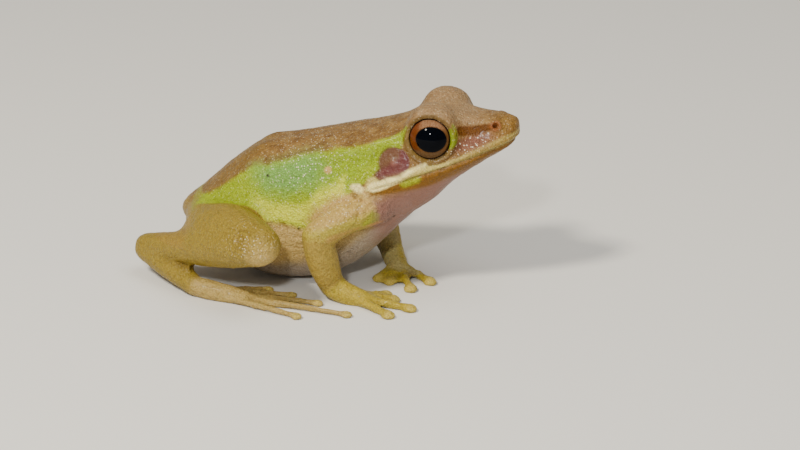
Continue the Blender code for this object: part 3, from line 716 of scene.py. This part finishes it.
    # Specks, arms, legs, hands and feet
    nearest = np.min([np.linalg.norm(points - np.array(s), axis=1) for s in SPECKS], axis=0)
    give(skin, "speck", 0.34 - nearest)
    give(skin, "peach", 0.7 - np.linalg.norm(points - np.array(PEACH_SPOT), axis=1))
    distance, along, total = line_distance(points, ARM_SEAM)
    give(skin, "arm_seam", 0.5 - distance + 0.3 * (parts["limb"] - 1.0))
    above_seam = curve_height(p, [(a, c) for a, _, c in ARM_SEAM])
    # Ahead of the arm its colours fade out slowly over the breast
    on_arm = 2.4 * (parts["arm"] - 0.35) + np.minimum(0.4 * (2.8 - x), 0.0)
    give(skin, "arm_side", np.minimum(above_seam, on_arm))
    give(skin, "arm_top", np.minimum(above_seam - 1.6 - 0.12 * (x - 2.0), on_arm))
    arm_end = smooth_step(x + 0.8 * grain(p, 1.2), 3.2, 7.4) * (z > 9.5)
    give(skin, "limb", parts["limb"] - leg_top - arm_end)
    # The near knee's pale patch is a painted highlight of its wet gloss
    give(skin, "knee", 3.0 - np.linalg.norm(points - np.array(KNEE_PAINTED_HIGHLIGHT), axis=1))
    # Painted shade in the furrows of the knee's rings and the shoulder's folds
    give(skin, "furrow", np.maximum(-knee_rings(points), -0.6 * shoulder_folds(p)))
    give(skin, "arm", parts["arm"] - arm_end)
    give(skin, "hand", parts["hand"])
    # The arms are paler on the side that faces the belly
    inward = normals[:, 1] * np.where(points[:, 1] > 0, -1.0, 1.0)
    on_either = np.maximum(parts["arm"], parts["hand"]) - 0.2 - arm_end
    give(skin, "inner_arm", np.minimum(1.6 * inward, on_either))
    give(skin, "foot", parts["foot"])
    # How deep each point lies under its neighbours, so that painted shade can darken the creases
    hollow = np.einsum("ij,ij->i", around(points, edges) - points, normals)
    for _ in range(3):
        hollow = around(hollow[:, None], edges)[:, 0]
    give(skin, "hollow", hollow)
    # Painted highlights stand for the wet skin's sparkle on the side, the snout, the knee and the arm
    knee = np.linalg.norm(p - np.array(KNEE_SHINE), axis=1)
    painted_sparkle = 0.2 * trunk + 0.75 * bell(np.hypot(x + 3.0, (z - 16.4) * 1.3), 4.6) * trunk + 0.04
    painted_sparkle += np.clip(lore, 0.0, 0.5) * 2.0 * (y < -1.2) + 0.6 * bell(knee, 3.5)
    painted_sparkle += 0.6 * smooth_step(np.minimum(above_seam, 3.0 * on_arm), 0.5, 2.5)
    plain = np.maximum(smooth_step(canthus, -0.3, 0.1), smooth_step(-above, -0.3, 0.3) * (x > 4.5))
    plain = np.maximum(plain, 0.75 * smooth_step(2.4 - ear_out, 0.0, 0.5) * (np.abs(ear_height) < 1.5))
    give(skin, "painted_sparkle", painted_sparkle * (1.0 - plain))
    # The throat, the eardrum and the lids are smoother than the rest
    bare = smooth_step(np.minimum(-above - 0.8, 0.5 * (x - 4.0)), 0.0, 1.0) * trunk
    bare = np.maximum(bare, smooth_step(2.4 - ear_out, 0.0, 0.4) * (np.abs(ear_height) < 1.5))
    bare = np.maximum(bare, smooth_step(3.5 - lid_out, 0.0, 0.3) * (lid_height > 0.4))
    give(skin, "bare", bare)
    # Paler discs at the ends of the fingers and toes
    tips = fan_tips(HANDS, FINGERS, 3.74) + fan_tips(FEET, TOES, 0.0)
    flat = np.min([np.hypot(points[:, 0] - tip_x, points[:, 1] - tip_y) for tip_x, tip_y in tips], axis=0)
    give(skin, "disc", np.where(parts["hand"] + parts["foot"] > 0.3, 1.1 - flat, -2.0))


def build_skin():
    """The whole skin, with a finer mesh where its detail lies, shaped and marked for its colours."""
    skin = skin_blank()
    points = points_of(skin)
    edges = edges_of(skin)
    points = relax_keeping_size(points, edges, 5)
    set_points(skin, points)

    p = mirrored(points)
    _, eye_out, _ = radial(p, EYE_CENTRE, LID_AXIS)
    near_eye = (np.linalg.norm(p - np.array(EYE_CENTRE), axis=1) < 4.6) & (eye_out > 2.2)
    near_mouth = (np.abs(mouth_height(p)) < 0.75) & (p[:, 0] > 4.0) & (p[:, 2] > 12.0)
    near_nostril = np.linalg.norm(p - np.array(NOSTRIL), axis=1) < 1.1
    near_ear = np.linalg.norm(p - np.array(EAR_CENTRE), axis=1) < 2.9
    near_knee = np.linalg.norm(points - np.array(KNEES[0]), axis=1) < 3.0
    near_shoulder = np.linalg.norm(p - np.array(SHOULDER), axis=1) < 2.6
    refine(skin, near_eye | near_mouth | near_nostril | near_ear | near_knee | near_shoulder)
    near_nostril = np.linalg.norm(mirrored(points_of(skin)) - np.array(NOSTRIL), axis=1) < 1.0
    refine(skin, near_nostril)

    points = points_of(skin)
    edges = edges_of(skin)
    points = relax_keeping_size(points, edges, 2)
    groups = {
        "trunk": ["head", "lower_jaw", "torso", "tympanum_left", "tympanum_right"],
        "arm": ["upper_arm_left", "upper_arm_right", "forearm_left", "forearm_right"],
        "hand": ["hand_left", "hand_right"],
        "leg": ["thigh_left", "thigh_right", "shank_left", "shank_right", "tarsus_left", "tarsus_right"],
        "foot": ["foot_left", "foot_right"],
    }
    apart = {group: nearest_distance(points, names) for group, names in groups.items()}

    def nearest_of(*names):
        return np.min([apart[name] for name in names], axis=0)

    # How much each point belongs to each part of the body, from 0 to 1
    parts = {
        "trunk": belonging(apart["trunk"], nearest_of("arm", "hand", "leg", "foot")),
        "leg": belonging(nearest_of("leg", "foot"), apart["trunk"]),
        "arm": belonging(nearest_of("arm", "hand"), nearest_of("trunk", "leg", "foot"), 1.3),
        "hand": belonging(apart["hand"], nearest_of("trunk", "arm", "leg", "foot")),
        "foot": belonging(apart["foot"], nearest_of("trunk", "arm", "leg", "hand"), 1.4),
    }
    parts["trunk_far"] = np.minimum(apart["trunk"], FAR)
    parts["arm"] = relax(parts["arm"][:, None], edges, 1.0, 50)[:, 0]
    parts["limb"] = np.maximum(parts["arm"], parts["leg"])
    # The brow runs into the crown without a step
    _, eye_out, _ = radial(mirrored(points), EYE_CENTRE, LID_AXIS)
    eye_far = np.linalg.norm(mirrored(points) - np.array(EYE_CENTRE), axis=1)
    over_eye = smooth_step(points[:, 2], 22.6, 23.4) * smooth_step(eye_out, 3.4, 4.0)
    brow_join = bell(eye_far - 4.5, 1.1) * over_eye
    points = relax(points, edges, 0.5 * brow_join, 50)
    set_points(skin, points)
    normals = normals_of(skin)
    points = shape_trunk(points, normals, parts["trunk"])
    points = shape_limbs(points, normals, parts["limb"])
    sides = np.where(points[:, 1] > 0, -1.0, 1.0)
    points = shape_lids(points, mirrored(points), sides)
    points[:, 2] = np.maximum(points[:, 2], 0.0)
    resting = points[:, 2] < LAID_FLAT
    points[:, 2] = np.where(resting, 0.0, points[:, 2])
    set_points(skin, points)
    mark_skin(skin, points, normals_of(skin), edges, parts)
    make_active(skin)
    bpy.ops.object.shade_smooth()
    skin.data.materials.clear()
    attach(skin, "root")
    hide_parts(*FLESH)
    return skin


# Materials


# The ways in which one colour is laid over another, and the settings of the plain arithmetic nodes
MIX = {"data_type": "RGBA", "blend_type": "MIX"}
MULTIPLY = {"data_type": "RGBA", "blend_type": "MULTIPLY"}
OVERLAY = {"data_type": "RGBA", "blend_type": "OVERLAY"}
MINUS = {"operation": "SUBTRACT"}
TIMES = {"operation": "MULTIPLY"}
TIMES_AND_PLUS = {"operation": "MULTIPLY_ADD"}
SOFT_STEP = {"interpolation_type": "SMOOTHSTEP"}


def lay_colours(tree, colour, layers, coarse, fine):
    """Lays colours over each other from the bottom up. Each layer reads one stored distance in millimetres,
    starts at its first distance, is full at its second, and wavers by its own number of millimetres."""
    for name, start, full, waver, strength, hex_colour in layers:
        stored = add_node(tree, "ShaderNodeAttribute", {"attribute_name": name}).outputs["Fac"]
        terms = {0: coarse, 1: waver, 2: stored}
        wavy = add_node(tree, "ShaderNodeMath", TIMES_AND_PLUS, terms).outputs[0]
        terms = {0: fine, 1: waver * 0.5, 2: wavy}
        rough = add_node(tree, "ShaderNodeMath", TIMES_AND_PLUS, terms).outputs[0]
        span = {"Value": rough, "From Min": start, "From Max": full, "To Max": strength}
        inside = add_node(tree, "ShaderNodeMapRange", SOFT_STEP, span).outputs["Result"]
        shades = {0: inside, 6: colour, 7: linear(hex_colour)}
        colour = add_node(tree, "ShaderNodeMix", MIX, shades).outputs[2]
    return colour


# Colours of the skin from the bottom up: stored distance, where the colour starts, where it is full,
# waver, strength and colour
SKIN_LAYERS = [
    ("crown", -0.5, 1.5, 1.0, 0.6, "#a08462"),
    ("rump", -0.5, 2.5, 1.0, 0.6, "#775d21"),
    ("flank", -0.4, 0.8, 0.7, 1.0, "#bfa261"),
    ("belly", -1.0, 1.4, 0.8, 0.9, "#9f9182"),
    ("green", -0.35, 0.35, 0.6, 1.0, "#92a406"),
    ("lime", -0.2, 1.0, 0.7, 0.7, "#89a304"),
    # Darker green under the fold: partly its own colour, partly painted shade
    ("dark_green_and_fold_shade", -0.2, 1.0, 0.6, 0.6, "#788a05"),
    ("green_low", -0.4, 1.4, 1.4, 0.7, "#e8eb48"),
    ("emerald", -0.8, 2.2, 1.6, 0.85, "#6c9b4a"),
    ("throat", -0.8, 1.4, 1.2, 0.9, "#886257"),
    ("lip", -0.12, 0.3, 0.25, 0.85, "#cebf6c"),
    ("lip_front", -0.1, 0.8, 0.4, 0.85, "#724d0e"),
    ("jaw", -0.1, 0.4, 0.4, 0.9, "#795105"),
    ("jaw_green", -0.3, 0.3, 0.4, 0.8, "#9aa911"),
    ("snout", 0.0, 2.4, 0.5, 0.55, "#8a6524"),
    ("lore", -0.15, 0.7, 0.5, 0.75, "#835246"),
    ("eye_streak", -0.3, 0.5, 0.5, 0.9, "#91a414"),
    ("canthus", -0.15, 0.25, 0.25, 0.95, "#633a09"),
    ("lid", -0.25, 0.3, 0.3, 0.85, "#5f471b"),
    ("lid_line", -0.05, 0.1, 0.08, 0.55, "#57401c"),
    ("lid_edge", -0.1, 0.12, 0.1, 0.6, "#836b3b"),
    ("lid_front", -0.1, 0.25, 0.3, 0.85, "#748807"),
    ("eye_bar", -0.15, 0.25, 0.2, 0.6, "#7b9007"),
    ("nostril", -0.05, 0.5, 0.15, 0.75, "#864c2a"),
    # Painted shade in the nostril's pit
    ("nostril_pit_shade", 0.0, 0.2, 0.05, 0.6, "#4c2a1a"),
    ("ear", -0.2, 0.15, 0.25, 0.9, "#5d2b31"),
    ("ear_rim", -0.05, 0.2, 0.15, 0.6, "#533220"),
    ("ear_knob", -0.1, 0.4, 0.1, 0.35, "#986658"),
    ("limb", 0.2, 0.8, 0.5, 1.0, "#8c772a"),
    ("arm_side", -0.6, 0.9, 0.9, 0.8, "#a1a40c"),
    ("arm_top", -0.6, 0.7, 0.9, 0.9, "#c49c64"),
    ("arm_seam", -0.2, 0.4, 0.3, 0.7, "#c9915b"),
    ("arm", 0.3, 0.9, 0.3, 0.6, "#ae9546"),
    # A pale patch on the near knee, painted as a highlight
    ("knee", 0.0, 2.4, 0.8, 0.8, "#cbae68"),
    # Painted shade in the furrows of the knee's rings and the shoulder's folds
    ("furrow", 0.15, 0.8, 0.15, 0.4, "#6f5423"),
    ("gland", -0.15, 0.3, 0.25, 0.95, "#f8e99d"),
    ("foot", 0.1, 1.0, 0.4, 0.5, "#c3a86b"),
    ("rump_end", -0.4, 0.8, 0.6, 0.9, "#92782f"),
    ("rump_green", -0.2, 0.6, 0.5, 0.7, "#8d8c20"),
    ("hand", 0.2, 0.9, 0.3, 0.8, "#ab982d"),
    ("inner_arm", -0.1, 0.7, 0.4, 0.55, "#b0a67c"),
    ("disc", -0.3, 0.4, 0.2, 0.6, "#c8b359"),
    ("peach", 0.0, 0.5, 0.2, 0.7, "#dba06b"),
    ("speck", 0.0, 0.16, 0.08, 0.85, "#2a2018"),
    # Dark rim on the lid's margin: partly its own colour, partly painted shade against the eyeball
    ("lid_rim_and_shade", -0.04, 0.06, 0.03, 0.85, "#30180f"),
]


def skin_material():
    """Live amphibian skin: thin, moist and finely granular, so it takes many small highlights, and pale
    flecks painted into its colour stand for more of them.
    """
    material, tree, shader = new_material("moist_granular_frog_skin")
    place = add_node(tree, "ShaderNodeTexCoord").outputs["Object"]
    # Patches of 1.6 mm and flecks of 0.5 mm make the colours' edges waver
    sized = {"Vector": place, "Scale": 1 / 0.0016, "Detail": 3.0}
    patches = add_node(tree, "ShaderNodeTexNoise", None, sized).outputs[0]
    sized = {"Vector": place, "Scale": 1 / 0.0005, "Detail": 2.0}
    flecks = add_node(tree, "ShaderNodeTexNoise", None, sized).outputs[0]
    coarse = add_node(tree, "ShaderNodeMath", MINUS, {0: patches, 1: 0.5}).outputs[0]
    fine = add_node(tree, "ShaderNodeMath", MINUS, {0: flecks, 1: 0.5}).outputs[0]
    span = {"Value": patches, "From Min": 0.35, "From Max": 0.65}
    mottle = add_node(tree, "ShaderNodeMapRange", None, span).outputs["Result"]
    shades = {0: mottle, 6: linear("#745427"), 7: linear("#92713d")}
    tan = add_node(tree, "ShaderNodeMix", MIX, shades).outputs[2]
    colour = lay_colours(tree, tan, SKIN_LAYERS, coarse, fine)
    # Mottling of the whole skin, a little darker and lighter in flecks, and less of it where the skin is bare
    bare = add_node(tree, "ShaderNodeAttribute", {"attribute_name": "bare"}).outputs["Fac"]
    span = {"Value": bare, "To Min": 0.3, "To Max": 0.12}
    flecked = add_node(tree, "ShaderNodeMapRange", None, span).outputs["Result"]
    colour = add_node(tree, "ShaderNodeMix", OVERLAY, {0: flecked, 6: colour, 7: flecks}).outputs[2]
    # Granules 0.24 mm across, drawn somewhat coarser than real so that they show, with painted shade in the
    # furrows between them
    sized = {"Vector": place, "Scale": 1 / 0.00024}
    granules = add_node(tree, "ShaderNodeTexVoronoi", {"feature": "F1"}, sized)
    from_middle = granules.outputs["Distance"]
    span = {"Value": bare, "To Min": 0.32, "To Max": 0.08}
    furrow_shade_depth = add_node(tree, "ShaderNodeMapRange", None, span).outputs["Result"]
    span = {"Value": from_middle, "From Min": 0.3, "From Max": 0.8, "To Max": furrow_shade_depth}
    furrow = add_node(tree, "ShaderNodeMapRange", None, span).outputs["Result"]
    shades = {0: furrow, 6: colour, 7: linear("#8a7050")}
    colour = add_node(tree, "ShaderNodeMix", MULTIPLY, shades).outputs[2]
    # Painted highlights: where the skin sparkles, about a quarter of the granules get a pale fleck painted in
    # the middle, standing for a glint of the wet skin
    painted_sparkle = add_node(tree, "ShaderNodeAttribute", {"attribute_name": "painted_sparkle"}).outputs["Fac"]
    span = {"Value": granules.outputs["Color"], "From Min": 0.64, "From Max": 0.74}
    chosen = add_node(tree, "ShaderNodeMapRange", None, span).outputs["Result"]
    span = {"Value": from_middle, "From Min": 0.2, "From Max": 0.5, "To Min": 0.9, "To Max": 0.0}
    middle = add_node(tree, "ShaderNodeMapRange", None, span).outputs["Result"]
    painted_glint = add_node(tree, "ShaderNodeMath", TIMES, {0: chosen, 1: middle}).outputs[0]
    painted_glint = add_node(tree, "ShaderNodeMath", TIMES, {0: painted_glint, 1: painted_sparkle}).outputs[0]
    shades = {0: painted_glint, 6: colour, 7: linear("#ecdfc4")}
    colour = add_node(tree, "ShaderNodeMix", MIX, shades).outputs[2]
    # Painted shade: creases are darker than the skin round them
    hollow = add_node(tree, "ShaderNodeAttribute", {"attribute_name": "hollow"}).outputs["Fac"]
    span = {"Value": hollow, "From Min": 0.004, "From Max": 0.05, "To Max": 0.6}
    crease_shade = add_node(tree, "ShaderNodeMapRange", None, span).outputs["Result"]
    shades = {0: crease_shade, 6: colour, 7: linear("#7a5840")}
    colour = add_node(tree, "ShaderNodeMix", MULTIPLY, shades).outputs[2]
    tree.links.new(colour, shader.inputs["Base Color"])
    # A thin film of moisture lies unevenly, so some flecks are glossier than others
    span = {"Value": flecks, "From Min": 0.3, "From Max": 0.7, "To Min": 0.3, "To Max": 0.5}
    wet = add_node(tree, "ShaderNodeMapRange", None, span).outputs["Result"]
    tree.links.new(wet, shader.inputs["Roughness"])
    # Each granule stands up as a small dome, on low waves of the skin
    dome = add_node(tree, "ShaderNodeMath", MINUS, {0: 1.0, 1: from_middle}).outputs[0]
    span = {"Value": bare, "To Min": 0.9, "To Max": 0.3}
    relief = add_node(tree, "ShaderNodeMapRange", None, span).outputs["Result"]
    raised = {"Strength": relief, "Distance": 0.0001, "Height": dome}
    beads = add_node(tree, "ShaderNodeBump", None, raised).outputs[0]
    raised = {"Strength": 0.6, "Distance": 0.0003, "Height": flecks, "Normal": beads}
    waves = add_node(tree, "ShaderNodeBump", None, raised).outputs[0]
    tree.links.new(waves, shader.inputs["Normal"])
    shader.inputs["IOR"].default_value = 1.4
    shader.inputs["Subsurface Weight"].default_value = 0.1
    shader.inputs["Subsurface Radius"].default_value = (1.0, 0.45, 0.25)
    shader.inputs["Subsurface Scale"].default_value = 0.0006
    shader.inputs["Specular IOR Level"].default_value = 0.25
    shader.inputs["Coat Weight"].default_value = 0.05
    shader.inputs["Coat Roughness"].default_value = 0.15
    return material


# Eyes


def build_eye(name, side):
    """An eyeball with a domed cornea, turned so that its pole looks out along the gaze."""
    gaze = Vector(GAZE * Vector((1.0, 0.0, 1.0)) + Vector((0.0, GAZE.y * side, 0.0))).normalized()
    centre = Vector((EYE_CENTRE.x, EYE_CENTRE.y * side, EYE_CENTRE.z))
    deselect_all()
    radius = EYE_RADIUS * MM
    bpy.ops.mesh.primitive_uv_sphere_add(segments=72, ring_count=48, radius=radius, location=(0, 0, 0))
    eye = bpy.context.object
    eye.name = name
    eye.data.transform(gaze.to_track_quat("Z", "Y").to_matrix().to_4x4())
    eye.data.transform(Matrix.Translation((centre + SHIFT) * MM))
    points = points_of(eye)
    offset = points - np.array(centre)
    height = offset @ np.array(gaze)
    forward = np.array((1.0, 0.0, 0.0)) - np.array(gaze) * gaze.x
    forward /= np.linalg.norm(forward)
    upward = np.cross(forward, np.array(gaze)) * (1.0 if side > 0 else -1.0)
    upward *= math.copysign(1.0, upward[2])
    cornea = 0.1 * smooth_step(height, 1.6, 3.0)
    set_points(eye, points + np.outer(cornea, np.array(gaze)))
    angle = np.arctan2(np.linalg.norm(offset - height[:, None] * np.array(gaze), axis=1), height)
    reach = EYE_RADIUS * angle / np.maximum(np.sin(angle), 1e-6)
    across = (offset @ forward) / EYE_RADIUS * reach
    rise = (offset @ upward) / EYE_RADIUS * reach
    give(eye, "front", across)
    give(eye, "rear", -across)
    give(eye, "rise", rise)
    give(eye, "low", -rise)
    from_middle = np.hypot(across / PUPIL_HALF_LENGTH, rise / PUPIL_HALF_HEIGHT)
    pupil = (1.0 - from_middle) * PUPIL_MEAN_HALF
    give(eye, "pupil", pupil)
    _, ring, _ = radial(points * np.array([1.0, side, 1.0]), EYE_CENTRE, LID_AXIS)
    # The eyeball darkens towards its edge under the lids: partly a dark limbus, partly painted shade of the
    # lids
    give(eye, "limbus_and_lid_shade", ring - 2.4)
    give(eye, "ring", -np.abs(pupil))
    make_active(eye)
    bpy.ops.object.shade_smooth()
    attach(eye, "root")
    return eye


# Colours of the eye from the bottom up, given as the skin's are
EYE_LAYERS = [
    ("rise", 0.7, 1.8, 0.3, 0.9, "#8e684a"),
    ("front", 1.3, 2.2, 0.3, 0.6, "#66431f"),
    ("rear", 1.2, 2.2, 0.5, 0.85, "#632d0a"),
    ("low", 1.45, 2.1, 0.3, 0.8, "#624c33"),
    ("ring", -0.16, -0.02, 0.08, 0.8, "#4a3016"),
    # Dark edge of the eyeball: partly a dark limbus, partly painted shade of the lids
    ("limbus_and_lid_shade", -0.02, 0.12, 0.05, 0.95, "#1c0c08"),
    ("pupil", -0.03, 0.06, 0.03, 1.0, "#02040a"),
]


def eye_material():
    """A live eye: its wet cornea gives a sharp clear highlight, over an iris of metallic flecks."""
    material, tree, shader = new_material("wet_cornea_over_gold_iris")
    place = add_node(tree, "ShaderNodeTexCoord").outputs["Object"]
    # Iris flecks of 0.15 mm in patches of 0.6 mm
    sized = {"Vector": place, "Scale": 1 / 0.0006, "Detail": 2.0}
    patches = add_node(tree, "ShaderNodeTexNoise", None, sized).outputs[0]
    sized = {"Vector": place, "Scale": 1 / 0.00015, "Detail": 2.0}
    flecks = add_node(tree, "ShaderNodeTexNoise", None, sized).outputs[0]
    coarse = add_node(tree, "ShaderNodeMath", MINUS, {0: patches, 1: 0.5}).outputs[0]
    fine = add_node(tree, "ShaderNodeMath", MINUS, {0: flecks, 1: 0.5}).outputs[0]
    span = {"Value": flecks, "From Min": 0.35, "From Max": 0.65}
    glint = add_node(tree, "ShaderNodeMapRange", None, span).outputs["Result"]
    shades = {0: glint, 6: linear("#452a12"), 7: linear("#8a6234")}
    base = add_node(tree, "ShaderNodeMix", MIX, shades).outputs[2]
    colour = lay_colours(tree, base, EYE_LAYERS, coarse, fine)
    span = {"Value": flecks, "From Min": 0.45, "From Max": 0.6, "To Max": 0.5}
    shade = add_node(tree, "ShaderNodeMapRange", None, span).outputs["Result"]
    shades = {0: shade, 6: colour, 7: linear("#8a6440")}
    colour = add_node(tree, "ShaderNodeMix", MULTIPLY, shades).outputs[2]
    tree.links.new(colour, shader.inputs["Base Color"])
    shader.inputs["Roughness"].default_value = 0.3
    shader.inputs["Specular IOR Level"].default_value = 0.0
    shader.inputs["Coat Weight"].default_value = 1.0
    shader.inputs["Coat Roughness"].default_value = 0.015
    shader.inputs["Coat IOR"].default_value = 1.15
    return material


# Floor, light and camera


def build_stage():
    """A wide pale board under the frog, and even warm light from all round."""
    deselect_all()
    bpy.ops.mesh.primitive_plane_add(size=4.0, location=(0, 0, 0))
    floor = bpy.context.object
    floor.name = "floor"
    # Painted board without gloss, so that it takes soft shadows and mirrors nothing
    material, _, shader = new_material("matt_pale_board")
    shader.inputs["Base Color"].default_value = linear("#e2e0da")
    shader.inputs["Roughness"].default_value = 0.8
    floor.data.materials.append(material)
    world = bpy.data.worlds.new("studio")
    bpy.context.scene.world = world
    world.use_nodes = True
    world.node_tree.nodes["Background"].inputs["Color"].default_value = (1.0, 0.97, 0.92, 1.0)
    world.node_tree.nodes["Background"].inputs["Strength"].default_value = 0.38


def add_softbox(name, direction, distance, size, power, colour=(1.0, 1.0, 1.0)):
    """A square softbox that faces the middle of the frog, with sizes in metres and power in watts."""
    target = (Vector((1.0, -4.0, 10.0)) + SHIFT) * MM
    light = bpy.data.lights.new(name, "AREA")
    light.shape = "SQUARE"
    light.size = size
    light.energy = power
    light.color = colour
    holder = bpy.data.objects.new(name, light)
    bpy.context.scene.collection.objects.link(holder)
    holder.location = target + direction.normalized() * distance
    holder.rotation_euler = direction.to_track_quat("Z", "Y").to_euler()


def build_camera():
    """A camera at the photograph's angle. Its own right, up and back directions are given back."""
    azimuth, elevation = math.radians(15.0), math.radians(20.5)
    level = math.cos(elevation)
    back = Vector((math.sin(azimuth) * level, -math.cos(azimuth) * level, math.sin(elevation)))
    right = Vector((math.cos(azimuth), math.sin(azimuth), 0.0))
    up = back.cross(right)
    distance, lens, sensor, picture_width = 350.0, 120.0, 36.0, 800
    pixel = distance * sensor / lens / picture_width
    # The frame's middle lies 51 pixels right of the frame's origin and 49 pixels above it
    aim = right * 51 * pixel + up * 49 * pixel
    camera = bpy.data.cameras.new("camera")
    camera.lens = lens
    camera.sensor_width = sensor
    camera.clip_start = 0.001
    holder = bpy.data.objects.new("camera", camera)
    bpy.context.scene.collection.objects.link(holder)
    turn = Matrix((right, up, back)).transposed().to_4x4()
    holder.matrix_world = Matrix.Translation((aim + back * distance + SHIFT) * MM) @ turn
    bpy.context.scene.camera = holder
    return right, up, back


right, up, back = build_camera()
build_stage()
add_softbox("key", right * -0.441 + up * 0.55 + back * 0.71, 0.45, 0.06, 2.0, (1.0, 0.93, 0.8))
add_softbox("glint", right * -0.103 + up * 0.2 + back * 0.97, 0.45, 0.03, 0.9)
add_softbox("overhead", right * 0.3 + up * 0.86 + back * 0.4, 0.5, 0.3, 0.8, (1.0, 0.97, 0.9))
skin = build_skin()
skin.data.materials.append(skin_material())
eye_finish = eye_material()
for eye_name, eye_side in (("eyeball_right", 1.0), ("eyeball_left", -1.0)):
    eyeball = build_eye(eye_name, eye_side)
    eyeball.data.materials.append(eye_finish)
    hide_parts("eye_right" if eye_side > 0 else "eye_left")
